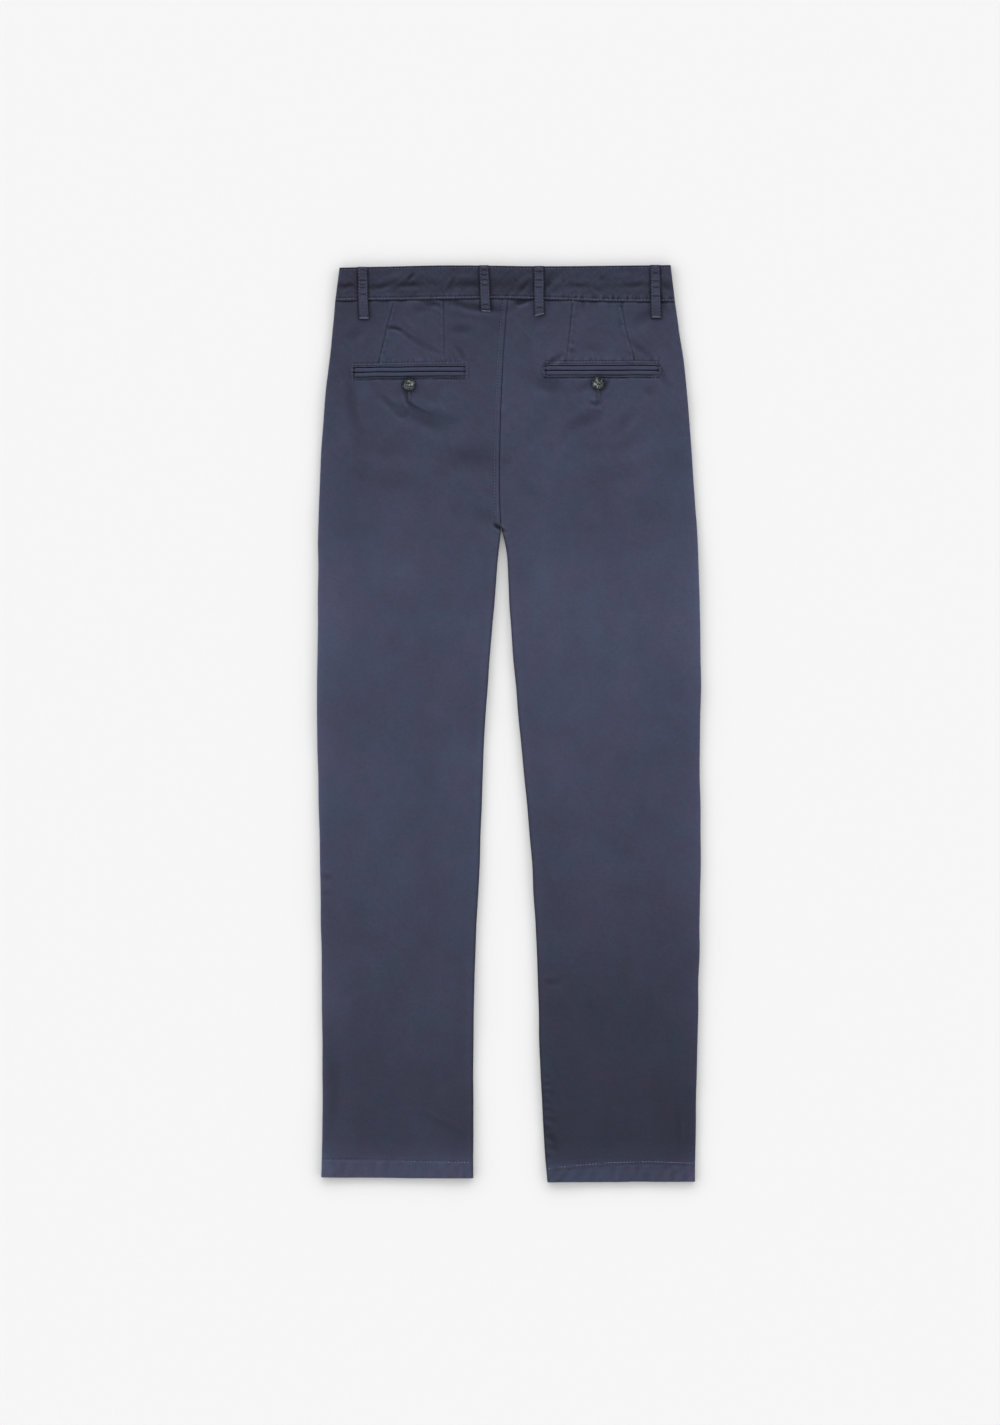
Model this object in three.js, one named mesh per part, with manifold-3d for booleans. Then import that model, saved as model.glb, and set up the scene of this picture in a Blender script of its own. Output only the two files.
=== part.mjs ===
// Chino trousers laid flat on their front, with the back up. Millimetres.
// +X is to the right seen from above, +Y towards the waistband, +Z up, and the front rests on z = 0.
// "down" is the distance from the top of the waistband towards the hems, so y = -down until
// the finished garment is centred.
import * as THREE from "three";
import { mergeVertices } from "three/addons/utils/BufferGeometryUtils.js";
import Module from "manifold-3d";

const wasm = await Module();
wasm.setup();

// Cloth, seams and the rolled side edges
const TWILL = 1.2;
const BAND_CLOTH = 2.4;
const SEAM_GAP = 0.3;
const EDGE_ROLL = 2.6;
const BAND_ROLL = 3;
const ROLL_STEPS = 4;

// Heights above the floor
const EDGE_MIDDLE = 2.1;
const BACK_FACE = 3.7;
const WAIST_LIFT = 0.8;
const WAIST_LIFT_LENGTH = 70;
const EDGE_BEAD = 0.6;
const EDGE_BEAD_WIDTH = 11;
const BAND_MIDDLE = 2.6;
const BAND_UNDER = 2.85;
const BAND_FACE = 5.2;
const BAND_HOLLOW = 0.5;
const BAND_EDGE_DROP = 0.7;

// Distances down from the top of the waistband
const WAIST = 40;
const CROTCH = 299;
const HEM = 1050;
const HEM_TURN = 20;
const HEM_RAISE = 0.3;
const SEAT_ROWS = 16;
const LEG_ROWS = 18;
const WAIST_FADE = 60;
const HEM_FADE = 50;
const CROTCH_ABOVE = 8;
const CROTCH_BELOW = 22;

// The photographed outline, a row for each section of the legs. Above the crotch the
// inner columns are the centre seam, and below it they are the two inseams.
const OUTLINE = [
  { down: 38, leftOuter: -199.8, leftInner: -1.2, rightInner: -1.2, rightOuter: 190.7 },
  { down: 94, leftOuter: -204.8, leftInner: -6.1, rightInner: -6.1, rightOuter: 198.7 },
  { down: 150, leftOuter: -211.5, leftInner: -8.9, rightInner: -8.9, rightOuter: 205.4 },
  { down: 219, leftOuter: -216.2, leftInner: -10.8, rightInner: -10.8, rightOuter: 210.5 },
  { down: 274, leftOuter: -218.5, leftInner: -10.6, rightInner: -10.6, rightOuter: 214.4 },
  { down: 299, leftOuter: -219.2, leftInner: -9.4, rightInner: -9.4, rightOuter: 216.2 },
  { down: 315, leftOuter: -219.5, leftInner: -10.8, rightInner: -5.6, rightOuter: 217.0 },
  { down: 338, leftOuter: -219.7, leftInner: -13.0, rightInner: -1.5, rightOuter: 218.0 },
  { down: 396, leftOuter: -219.9, leftInner: -17.3, rightInner: 0.8, rightOuter: 219.7 },
  { down: 482, leftOuter: -221.0, leftInner: -24.2, rightInner: 7.6, rightOuter: 220.9 },
  { down: 568, leftOuter: -220.0, leftInner: -29.6, rightInner: 16.0, rightOuter: 219.7 },
  { down: 683, leftOuter: -217.4, leftInner: -33.6, rightInner: 26.0, rightOuter: 220.7 },
  { down: 798, leftOuter: -215.7, leftInner: -39.1, rightInner: 32.1, rightOuter: 218.8 },
  { down: 913, leftOuter: -214.6, leftInner: -40.9, rightInner: 35.5, rightOuter: 216.2 },
  { down: 1000, leftOuter: -215.1, leftInner: -40.7, rightInner: 39.9, rightOuter: 214.9 },
  { down: 1055, leftOuter: -216.0, leftInner: -40.7, rightInner: 45.0, rightOuter: 213.9 },
];

// The waistband's top edge and its seam to the panels, by place across the garment
const WAISTLINE = [
  { x: -200, top: 2.5, seam: 40.3 },
  { x: -125, top: 0.8, seam: 39.4 },
  { x: -79, top: -0.2, seam: 38.5 },
  { x: -16, top: 0.1, seam: 37.7 },
  { x: 28, top: 0.8, seam: 38.6 },
  { x: 82, top: 0.5, seam: 40.0 },
  { x: 128, top: 0.0, seam: 41.2 },
  { x: 191, top: -0.6, seam: 41.2 },
];
const BAND_TOP_OUT = { left: -195, right: 186 };

// Hem lines, at the outseam and at the inseam
const LEGS = [
  { side: "left", outer: "leftOuter", inner: "leftInner", hemOuter: 1048.3, hemInner: 1049.4 },
  { side: "right", outer: "rightOuter", inner: "rightInner", hemOuter: 1052.9, hemInner: 1054 },
];

// The largest folds of the back, from one end to the other. rise is up, or down when negative.
const FOLDS = [
  { x0: -137, down0: 70, x1: -78, down1: 100, width: 8, rise: -0.5 },
  { x0: -131, down0: 163, x1: -68, down1: 186, width: 12, rise: -0.6 },
  { x0: -182, down0: 131, x1: -178, down1: 180, width: 10, rise: -0.5 },
  { x0: 20, down0: 138, x1: 76, down1: 141, width: 12, rise: -0.4 },
  { x0: 96, down0: 60, x1: 128, down1: 96, width: 11, rise: -0.35 },
  { x0: 176, down0: 126, x1: 184, down1: 190, width: 12, rise: -0.4 },
  { x0: -30, down0: 200, x1: -150, down1: 262, width: 26, rise: 0.7 },
  { x0: 20, down0: 210, x1: 140, down1: 290, width: 26, rise: 0.7 },
  { x0: -120, down0: 360, x1: -128, down1: 620, width: 46, rise: 0.9 },
  { x0: 112, down0: 370, x1: 122, down1: 640, width: 46, rise: 0.9 },
  { x0: -80, down0: 690, x1: -170, down1: 735, width: 18, rise: 0.5 },
  { x0: 70, down0: 700, x1: 190, down1: 760, width: 18, rise: 0.5 },
  { x0: -128, down0: 780, x1: -130, down1: 940, width: 40, rise: 0.7 },
  { x0: 122, down0: 790, x1: 128, down1: 950, width: 40, rise: 0.7 },
  { x0: -114, down0: 979, x1: -52, down1: 1002, width: 10, rise: -0.5 },
  { x0: -196, down0: 940, x1: -194, down1: 1000, width: 12, rise: -0.4 },
  { x0: 56, down0: 1006, x1: 200, down1: 1010, width: 10, rise: -0.45 },
];
const LOWEST_FACE = 3;

// Darts sewn into the back panels, from the waist seam to the pocket
const DARTS = [
  { side: "left", x0: -133.4, down0: 44, bendX: -140.5, bendDown: 72, x1: -150.2, down1: 112 },
  { side: "left", x0: -75.6, down0: 43, bendX: -75.1, bendDown: 70, x1: -74.5, down1: 112 },
  { side: "right", x0: 72.9, down0: 44, bendX: 70.4, bendDown: 72, x1: 65.9, down1: 109 },
  { side: "right", x0: 129.6, down0: 45, bendX: 134.2, bendDown: 72, x1: 144.7, down1: 108 },
];
const DART_WIDTH = 0.8;
const DART_DEPTH = 0.45;
const DART_STEPS = 5;

// Back pockets: the mouth's two ends, with a welt above and below it
const POCKETS = [
  { side: "left", x0: -177, down0: 122.3, x1: -52.3, down1: 121.0 },
  { side: "right", x0: 43.2, down0: 120.3, x1: 170.0, down1: 119.9 },
];
const WELT_HEIGHT = 5.6;
const WELT_THICK = 1;
const MOUTH = 0.5;
const WELT_STEPS = 10;

// Belt loops: centre at the waistband's top edge and at the bar-tacked lower end
const LOOPS = [
  { place: "side_left", topX: -168.6, endX: -166.8, endDown: 61.0 },
  { place: "back_left", topX: -28.9, endX: -26.5, endDown: 52.7 },
  { place: "back_right", topX: 34.3, endX: 35.0, endDown: 56.8 },
  { place: "side_right", topX: 167.9, endX: 169.4, endDown: 59.7 },
];
const LOOP_WIDTH = 11;
const LOOP_THICK = 1.5;
const LOOP_BOW = 0.5;
const LOOP_STEPS = 9;

// Buttons, all of one size
const BUTTON_RADIUS = 7.5;
const BUTTON_THICK = 2.5;
const BUTTON_DISH = 0.8;
const BUTTON_RIM = 2;
const BUTTON_EDGE = 0.6;
const BUTTON_SIDES = 24;
const HOLE_RADIUS = 0.9;
const HOLE_SPREAD = 1.45;
const HOLE_SIDES = 8;
const POCKET_BUTTONS = [
  { side: "left", x: -115.0, down: 136.9 },
  { side: "right", x: 102.6, down: 134.9 },
];

// Front closing and the slanted front pockets, on the underside
const TAB = 22;
const TAB_BUTTON_INSET = 12;
const WAIST_BUTTON_THICK = 1.9;
const SLANT_TOP = 52;
const SLANT_LENGTH = 152;

// Colours and finishes
const TWILL_NAVY = { color: "#444759", roughness: 0.88, metalness: 0 };
const TWILL_SHADE = { color: "#3a3c4b", roughness: 0.88, metalness: 0 };
const HORN_GREY = { color: "#4d4d49", roughness: 0.35, metalness: 0 };

// Helpers for tables and blends
const { lerp, smoothstep } = THREE.MathUtils;

function along(table, key, column, at) {
  const last = table.length - 2;
  const i = Math.min(last, Math.max(0, table.findIndex((row) => row[key] > at) - 1 || 0));
  const row = at >= table[last + 1][key] ? last : i;
  const slope = (n) => {
    const a = table[Math.max(0, n - 1)];
    const b = table[Math.min(last + 1, n + 1)];
    return (b[column] - a[column]) / (b[key] - a[key]);
  };
  const from = table[row];
  const to = table[row + 1];
  const span = to[key] - from[key];
  const t = (at - from[key]) / span;
  const rise = t * t * (3 - 2 * t);
  const bend = t * (1 - t) * span;
  return lerp(from[column], to[column], rise) + bend * ((1 - t) * slope(row) - t * slope(row + 1));
}

function steps(from, to, count) {
  return Array.from({ length: count }, (_, i) => lerp(from, to, i / count));
}

const outlineAt = (column, down) => along(OUTLINE, "down", column, down);
const seamAt = (x) => along(WAISTLINE, "x", "seam", THREE.MathUtils.clamp(x, -200, 191));
const bandTopAt = (x) => along(WAISTLINE, "x", "top", THREE.MathUtils.clamp(x, -200, 191));

// The inner edge of a leg: the shared centre seam above the crotch, its own inseam below it
function innerAt(leg, down) {
  const seam = (outlineAt("leftInner", down) + outlineAt("rightInner", down)) / 2;
  return down < CROTCH ? seam : outlineAt(leg.inner, down);
}

// Height of a fold at one point, fading out at both of its ends
function foldHeight({ x0, down0, x1, down1, width, rise }, x, down) {
  const length = Math.hypot(x1 - x0, down1 - down0);
  const run = ((x - x0) * (x1 - x0) + (down - down0) * (down1 - down0)) / length;
  const off = ((x - x0) * (down1 - down0) - (down - down0) * (x1 - x0)) / length;
  const past = Math.max(0, -run, run - length);
  return rise * Math.exp(-(off * off + past * past) / (width * width));
}

// Height of the back panels' outer face above the floor
function backFace(leg, x, down) {
  const outer = Math.abs(x - outlineAt(leg.outer, down));
  const inner = Math.abs(x - innerAt(leg, down));
  const free = smoothstep(down, CROTCH - CROTCH_ABOVE, CROTCH + CROTCH_BELOW);
  const bead = Math.exp(-((outer / EDGE_BEAD_WIDTH) ** 2))
    + free * Math.exp(-((inner / EDGE_BEAD_WIDTH) ** 2));
  const waist = WAIST_LIFT * (1 - smoothstep(down, WAIST, WAIST + WAIST_LIFT_LENGTH));
  const turned = HEM_RAISE * smoothstep(down, HEM - HEM_TURN - 1, HEM - HEM_TURN + 1);
  const folds = FOLDS.reduce((sum, fold) => sum + foldHeight(fold, x, down), 0);
  return Math.max(LOWEST_FACE, BACK_FACE + EDGE_BEAD * bead + waist + turned + folds);
}

// Height of the back waistband's outer face: hollow along its middle, lower at its top edge
function bandFace(x, down) {
  const share = (down - bandTopAt(x)) / (seamAt(x) - bandTopAt(x));
  const hollow = BAND_HOLLOW * Math.sin(Math.PI * THREE.MathUtils.clamp(share, 0, 1)) ** 2;
  const edge = BAND_EDGE_DROP * (1 - smoothstep(share, -0.01, 0.06));
  return BAND_FACE - hollow - edge;
}

// Closed solid between an upper and a lower grid of points, rows downwards and columns to +X
function wallGeometry(upper, lower) {
  const rows = upper.length;
  const columns = upper[0].length;
  const positions = [...upper.flat(), ...lower.flat()].flatMap((p) => [p.x, p.y, p.z]);
  const up = (r, c) => r * columns + c;
  const low = (r, c) => rows * columns + r * columns + c;
  const index = [];
  const quad = (a, b, c, d) => index.push(a, b, c, a, c, d);
  for (let r = 0; r < rows - 1; r += 1) {
    for (let c = 0; c < columns - 1; c += 1) {
      quad(up(r, c), up(r + 1, c), up(r + 1, c + 1), up(r, c + 1));
      quad(low(r, c), low(r, c + 1), low(r + 1, c + 1), low(r + 1, c));
    }
    quad(up(r, 0), low(r, 0), low(r + 1, 0), up(r + 1, 0));
    quad(up(r + 1, columns - 1), low(r + 1, columns - 1), low(r, columns - 1), up(r, columns - 1));
  }
  for (let c = 0; c < columns - 1; c += 1) {
    quad(up(0, c), up(0, c + 1), low(0, c + 1), low(0, c));
    quad(up(rows - 1, c), low(rows - 1, c), low(rows - 1, c + 1), up(rows - 1, c + 1));
  }
  const geometry = new THREE.BufferGeometry();
  geometry.setAttribute("position", new THREE.Float32BufferAttribute(positions, 3));
  geometry.setIndex(index);
  return geometry;
}

// One section of cloth across the garment, from its left end to its right end. A free end
// turns down in a quarter round to the middle of the edge, and an end at a seam stays flat.
function clothSection({ left, right, leftTurn, rightTurn, roll, wall, middle, inside, face, lining }) {
  const points = [];
  const end = (x, inward, turn) => {
    const row = [];
    for (let k = 0; k <= ROLL_STEPS; k += 1) {
      const angle = (Math.PI / 2) * (k / ROLL_STEPS);
      const flat = roll * (k / ROLL_STEPS);
      const round = 1 - Math.cos(angle);
      const outerX = x + inward * lerp(flat, roll * round, turn);
      const innerX = x + inward * lerp(flat, wall + (roll - wall) * round, turn);
      const outerZ = lerp(face(outerX), lerp(middle, face(x + inward * roll), Math.sin(angle)), turn);
      const innerZ = lerp(lining(innerX), lerp(middle, lining(x + inward * roll), Math.sin(angle)), turn);
      row.push({ outerX, outerZ, innerX, innerZ });
    }
    return row;
  };
  points.push(...end(left, 1, leftTurn));
  for (const x of steps(left + roll, right - roll, inside).slice(1)) {
    points.push({ outerX: x, outerZ: face(x), innerX: x, innerZ: lining(x) });
  }
  points.push(...end(right, -1, rightTurn).reverse());
  return points;
}

// A solid from its sections. downAt bends a section along the garment at each place across it.
// A back piece has its face up, and a front piece is turned over, with its face on the floor.
function clothPiece(sections, downAt, faceUp) {
  const grid = (x, z) => sections.map(({ nominal, points }) =>
    points.map((p) => new THREE.Vector3(p[x], -downAt(p[x], nominal), p[z])));
  const face = grid("outerX", "outerZ");
  const lining = grid("innerX", "innerZ");
  return faceUp ? wallGeometry(face, lining) : wallGeometry(lining, face);
}

function toSolid(geometry) {
  const bare = geometry.index ? geometry.clone() : geometry;
  bare.deleteAttribute("normal");
  bare.deleteAttribute("uv");
  const merged = mergeVertices(bare, 1e-4);
  const vertProperties = Float32Array.from(merged.attributes.position.array);
  const triVerts = Uint32Array.from(merged.index.array);
  return new wasm.Manifold(new wasm.Mesh({ numProp: 3, vertProperties, triVerts }));
}

function toGeometry(solid) {
  const mesh = solid.getMesh();
  const geometry = new THREE.BufferGeometry();
  geometry.setAttribute("position", new THREE.Float32BufferAttribute(mesh.vertProperties, 3));
  geometry.setIndex([...mesh.triVerts]);
  return geometry;
}

const garment = new THREE.Group();

function addPiece(name, geometry, finish) {
  const mesh = new THREE.Mesh(geometry, new THREE.MeshStandardMaterial(finish));
  mesh.name = name;
  garment.add(mesh);
  return mesh;
}

// Legs: the rows of a panel follow the waist seam at the top and the hem line at the bottom
const HALF_GAP = SEAM_GAP / 2;
const TURN_ROWS = [HEM - HEM_TURN - 1.5, HEM - HEM_TURN + 1.5];
const PANEL_ROWS = [
  ...steps(WAIST, CROTCH, SEAT_ROWS),
  ...steps(CROTCH, CROTCH + CROTCH_BELOW, 2),
  ...steps(CROTCH + CROTCH_BELOW, TURN_ROWS[0], LEG_ROWS),
  ...TURN_ROWS,
  HEM,
];

function panelDown(leg, x, nominal) {
  const outer = outlineAt(leg.outer, HEM);
  const inner = outlineAt(leg.inner, HEM);
  const hem = lerp(leg.hemOuter, leg.hemInner, (x - outer) / (inner - outer));
  const atWaist = 1 - smoothstep(nominal, WAIST, WAIST + WAIST_FADE);
  const atHem = smoothstep(nominal, HEM - HEM_FADE, HEM - HEM_TURN - 2);
  return nominal + atWaist * (seamAt(x) + HALF_GAP - WAIST) + atHem * (hem - HEM);
}

function panelGeometry(leg, rows, inside, middle, faceUp, face, lining) {
  const sections = rows.map((nominal) => {
    const freeInner = smoothstep(nominal, CROTCH - CROTCH_ABOVE, CROTCH + CROTCH_BELOW);
    const clear = Math.sign(outlineAt(leg.outer, nominal)) * HALF_GAP;
    const ends = [
      { x: outlineAt(leg.outer, nominal), turn: 1 },
      { x: innerAt(leg, nominal) + clear, turn: freeInner },
    ].sort((a, b) => a.x - b.x);
    const points = clothSection({
      left: ends[0].x,
      right: ends[1].x,
      leftTurn: ends[0].turn,
      rightTurn: ends[1].turn,
      roll: EDGE_ROLL,
      wall: TWILL,
      middle,
      inside,
      face: (x) => face(x, nominal),
      lining: (x) => lining(x, nominal),
    });
    return { nominal, points };
  });
  return clothPiece(sections, (x, nominal) => panelDown(leg, x, nominal), faceUp);
}

// Darts: narrow grooves that follow the panel's face
function dartGroove(leg, dart) {
  const line = new THREE.CatmullRomCurve3([
    new THREE.Vector3(dart.x0, dart.down0, 0),
    new THREE.Vector3(dart.bendX, dart.bendDown, 0),
    new THREE.Vector3(dart.x1, dart.down1, 0),
  ]);
  const rows = line.getPoints(DART_STEPS);
  const grid = (lift) => rows.map((p) => [-1, 1].map((side) =>
    new THREE.Vector3(p.x + side * (DART_WIDTH / 2), -p.y, backFace(leg, p.x, p.y) + lift)));
  return toSolid(wallGeometry(grid(BACK_FACE), grid(-DART_DEPTH)));
}

for (const leg of LEGS) {
  const back = panelGeometry(leg, PANEL_ROWS, 13, EDGE_MIDDLE + HALF_GAP, true,
    (x, down) => backFace(leg, x, down), (x, down) => backFace(leg, x, down) - TWILL);
  let solid = toSolid(back);
  for (const dart of DARTS.filter(({ side }) => side === leg.side)) {
    solid = solid.subtract(dartGroove(leg, dart));
  }
  addPiece(`back_panel_${leg.side}`, toGeometry(solid), TWILL_NAVY);
}

// Front panels, flat on the floor, with the corner behind each slanted pocket cut apart
function slantPrism(leg, shift) {
  const out = Math.sign(outlineAt(leg.outer, WAIST));
  const topX = outlineAt(leg.outer, WAIST) - out * (SLANT_TOP + shift);
  const lowDown = WAIST + SLANT_LENGTH;
  const lowX = outlineAt(leg.outer, lowDown) - out * shift;
  const slope = (lowX - topX) / (lowDown - WAIST);
  const above = WAIST / 2;
  const below = lowDown + WAIST;
  const farX = lowX + out * WAIST;
  const shape = new THREE.Shape([
    new THREE.Vector2(topX - slope * (WAIST - above), -above),
    new THREE.Vector2(topX + slope * (below - WAIST), -below),
    new THREE.Vector2(farX + slope * WAIST, -below),
    new THREE.Vector2(farX + slope * WAIST, -above),
  ]);
  const prism = new THREE.ExtrudeGeometry(shape, { depth: 2 * BACK_FACE, bevelEnabled: false });
  prism.translate(0, 0, -BACK_FACE);
  return toSolid(prism);
}

const FRONT_ROWS = PANEL_ROWS.filter((row, i) => i % 2 === 0 || row >= TURN_ROWS[0]);

for (const leg of LEGS) {
  const front = toSolid(panelGeometry(leg, FRONT_ROWS, 3, EDGE_MIDDLE - HALF_GAP, false,
    () => 0, () => TWILL));
  addPiece(`front_panel_${leg.side}`, toGeometry(front.subtract(slantPrism(leg, SEAM_GAP))), TWILL_NAVY);
  addPiece(`hip_facing_${leg.side}`, toGeometry(front.intersect(slantPrism(leg, 0))), TWILL_SHADE);
}

// Waistband: rows run from 0 at its top edge to 1 at the seam to the panels
const BAND_ROWS = [0, 0.02, 0.06, 0.3, 0.5, 0.7, 1];

function bandDown(x, share) {
  return lerp(bandTopAt(x), seamAt(x) - HALF_GAP, share);
}

function bandGeometry({ left, right, leftTurn, rightTurn, rows, inside, middle, faceUp, face, lining }) {
  const sections = rows.map((share) => ({
    nominal: share,
    points: clothSection({
      left: left(share),
      right: right(share),
      leftTurn,
      rightTurn,
      roll: BAND_ROLL,
      wall: BAND_CLOTH,
      middle,
      inside,
      face: (x) => face(x, share),
      lining,
    }),
  }));
  return clothPiece(sections, bandDown, faceUp);
}

const bandLeft = (share) => lerp(BAND_TOP_OUT.left, outlineAt("leftOuter", WAIST), share);
const bandRight = (share) => lerp(BAND_TOP_OUT.right, outlineAt("rightOuter", WAIST), share);
const FRONT_CENTRE = outlineAt("leftInner", WAIST);
const TAB_END = FRONT_CENTRE + TAB;

addPiece("waistband_back", bandGeometry({
  left: bandLeft,
  right: bandRight,
  leftTurn: 1,
  rightTurn: 1,
  rows: BAND_ROWS,
  inside: 16,
  middle: BAND_MIDDLE + HALF_GAP,
  faceUp: true,
  face: (x, share) => bandFace(x, bandDown(x, share)),
  lining: () => BAND_UNDER,
}), TWILL_NAVY);

const frontBand = {
  rows: [0, 1],
  inside: 6,
  middle: BAND_MIDDLE - HALF_GAP,
  faceUp: false,
  face: () => 0,
  lining: () => BAND_CLOTH,
};
addPiece("waistband_front_right", bandGeometry({
  ...frontBand,
  left: () => TAB_END + HALF_GAP,
  right: bandRight,
  leftTurn: 0,
  rightTurn: 1,
}), TWILL_NAVY);

// The front button lies in its own buttonhole in the waistband's tab, level with the cloth
const WAIST_BUTTON = { x: TAB_END - TAB_BUTTON_INSET, down: WAIST / 2 };

function buttonGeometry(thick) {
  const profile = [
    [0, 0],
    [BUTTON_RADIUS - BUTTON_EDGE, 0],
    [BUTTON_RADIUS, BUTTON_EDGE],
    [BUTTON_RADIUS, thick - BUTTON_EDGE],
    [BUTTON_RADIUS - BUTTON_EDGE, thick],
    [BUTTON_RADIUS - BUTTON_RIM, thick],
    [BUTTON_RADIUS - BUTTON_RIM - BUTTON_EDGE, thick - BUTTON_DISH],
    [0, thick - BUTTON_DISH],
  ].map(([radius, height]) => new THREE.Vector2(radius, height));
  const disc = new THREE.LatheGeometry(profile, BUTTON_SIDES).rotateX(Math.PI / 2);
  let solid = toSolid(disc);
  for (const [sideX, sideY] of [[-1, -1], [-1, 1], [1, -1], [1, 1]]) {
    const hole = new THREE.CylinderGeometry(HOLE_RADIUS, HOLE_RADIUS, 3 * thick, HOLE_SIDES);
    hole.rotateX(Math.PI / 2).translate(sideX * HOLE_SPREAD, sideY * HOLE_SPREAD, 0);
    solid = solid.subtract(toSolid(hole));
  }
  return toGeometry(solid);
}

const tab = toSolid(bandGeometry({
  ...frontBand,
  left: bandLeft,
  right: () => TAB_END - HALF_GAP,
  leftTurn: 1,
  rightTurn: 0,
}));
const buttonRoom = new THREE.CylinderGeometry(
  BUTTON_RADIUS + SEAM_GAP, BUTTON_RADIUS + SEAM_GAP, 3 * BAND_CLOTH, BUTTON_SIDES);
buttonRoom.rotateX(Math.PI / 2).translate(WAIST_BUTTON.x, -WAIST_BUTTON.down, 0);
addPiece("waistband_front_left", toGeometry(tab.subtract(toSolid(buttonRoom))), TWILL_NAVY);

const waistButton = addPiece("waist_button", buttonGeometry(WAIST_BUTTON_THICK), HORN_GREY);
waistButton.rotation.x = Math.PI;
waistButton.position.set(WAIST_BUTTON.x, -WAIST_BUTTON.down, SEAM_GAP / 2 + WAIST_BUTTON_THICK);

// Strips that lie on the back: rows run along the strip, columns across it with soft edges
const STRIP_ACROSS = [
  { share: -1, lift: 0.55 },
  { share: -0.8, lift: 1 },
  { share: 0.8, lift: 1 },
  { share: 1, lift: 0.55 },
];

function stripGeometry(line, width, thick, across, under) {
  const grid = (lifted) => line.map((p, i) => STRIP_ACROSS.map(({ share, lift }) => {
    const place = p.clone().addScaledVector(across, share * (width / 2));
    const rise = lifted ? lift * thick + (p.z ?? 0) : 0;
    return new THREE.Vector3(place.x, -place.y, under(place.x, place.y, i) + rise);
  }));
  return wallGeometry(grid(true), grid(false));
}

// Double welts: each lies 0.3 mm over the panel, above and below the pocket's mouth
for (const pocket of POCKETS) {
  const leg = LEGS.find(({ side }) => side === pocket.side);
  for (const { name, way } of [{ name: "upper", way: -1 }, { name: "lower", way: 1 }]) {
    const shift = way * (MOUTH / 2 + WELT_HEIGHT / 2);
    const start = new THREE.Vector3(pocket.x0, pocket.down0 + shift, 0);
    const end = new THREE.Vector3(pocket.x1, pocket.down1 + shift, 0);
    const line = [...steps(0, 1, WELT_STEPS), 1].map((t) => start.clone().lerp(end, t));
    const across = new THREE.Vector3(0, -1, 0);
    const under = (x, down) => backFace(leg, x, down) + SEAM_GAP;
    const turned = stripGeometry(line, WELT_HEIGHT, WELT_THICK, across, under);
    addPiece(`welt_${name}_${pocket.side}`, turned, TWILL_NAVY);
  }
}

// Belt loops: sewn into the waistband's top edge, bowed over it and tacked down below the seam
for (const loop of LOOPS) {
  const leg = LEGS[loop.topX < FRONT_CENTRE ? 0 : 1];
  const top = bandTopAt(loop.topX);
  const seam = seamAt(loop.endX);
  const line = [...steps(0, 1, LOOP_STEPS), 1].map((t) => new THREE.Vector3(
    lerp(loop.topX, loop.endX, t),
    lerp(top, loop.endDown, t),
    LOOP_BOW * Math.sin(Math.PI * t),
  ));
  const across = new THREE.Vector3(1, 0, 0);
  const clearOfBand = seam + (loop.endDown - seam) * 0.25;
  const under = (x, down) => SEAM_GAP + lerp(
    BAND_FACE, backFace(leg, x, down), smoothstep(down, clearOfBand, loop.endDown));
  addPiece(`belt_loop_${loop.place}`, stripGeometry(line, LOOP_WIDTH, LOOP_THICK, across, under),
    TWILL_NAVY);
}

// Pocket buttons, just under the lower welts
for (const button of POCKET_BUTTONS) {
  const leg = LEGS.find(({ side }) => side === button.side);
  const mesh = addPiece(`pocket_button_${button.side}`, buttonGeometry(BUTTON_THICK), HORN_GREY);
  const seat = backFace(leg, button.x, button.down) + SEAM_GAP;
  mesh.position.set(button.x, -button.down, seat);
}

// Origin under the middle of the finished garment, on the floor
const reach = new THREE.Box3().setFromObject(garment);
const middle = reach.getCenter(new THREE.Vector3());
garment.position.set(-middle.x, -middle.y, -reach.min.z);

export default garment;
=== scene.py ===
"""Chino trousers laid flat on their front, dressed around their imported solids.

Sizes are in millimetres. Places on the garment are given across it, to the right seen from above,
and down it, from the top of the waistband towards the hems.
"""
import math
from functools import partial

import bmesh
import bpy
import numpy as np
from mathutils import Matrix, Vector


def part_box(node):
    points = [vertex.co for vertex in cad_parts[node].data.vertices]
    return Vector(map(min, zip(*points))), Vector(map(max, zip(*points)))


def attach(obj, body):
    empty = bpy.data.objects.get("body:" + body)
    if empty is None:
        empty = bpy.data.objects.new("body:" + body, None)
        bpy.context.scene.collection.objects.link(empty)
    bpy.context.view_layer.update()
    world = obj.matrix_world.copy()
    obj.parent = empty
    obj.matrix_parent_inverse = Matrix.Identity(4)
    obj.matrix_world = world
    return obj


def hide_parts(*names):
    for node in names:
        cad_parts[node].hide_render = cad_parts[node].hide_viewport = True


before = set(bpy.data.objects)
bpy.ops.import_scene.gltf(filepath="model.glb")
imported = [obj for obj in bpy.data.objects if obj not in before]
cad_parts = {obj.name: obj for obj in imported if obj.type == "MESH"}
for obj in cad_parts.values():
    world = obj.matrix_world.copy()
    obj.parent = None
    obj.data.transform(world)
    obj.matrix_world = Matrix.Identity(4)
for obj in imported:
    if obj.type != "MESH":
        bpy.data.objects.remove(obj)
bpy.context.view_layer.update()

# Camera
# The trousers are seen from straight above with a short telephoto lens, aimed a little from
# their middle towards the waistband, with a wide margin on every side.
MM = 0.001
LEFT_BUTTON_PLACE = (-115.0, 136.9)
low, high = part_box("pocket_button_left")
SHIFT_X = (low.x + high.x) / 2 / MM - LEFT_BUTTON_PLACE[0]
SHIFT_Y = (low.y + high.y) / 2 / MM + LEFT_BUTTON_PLACE[1]


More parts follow.
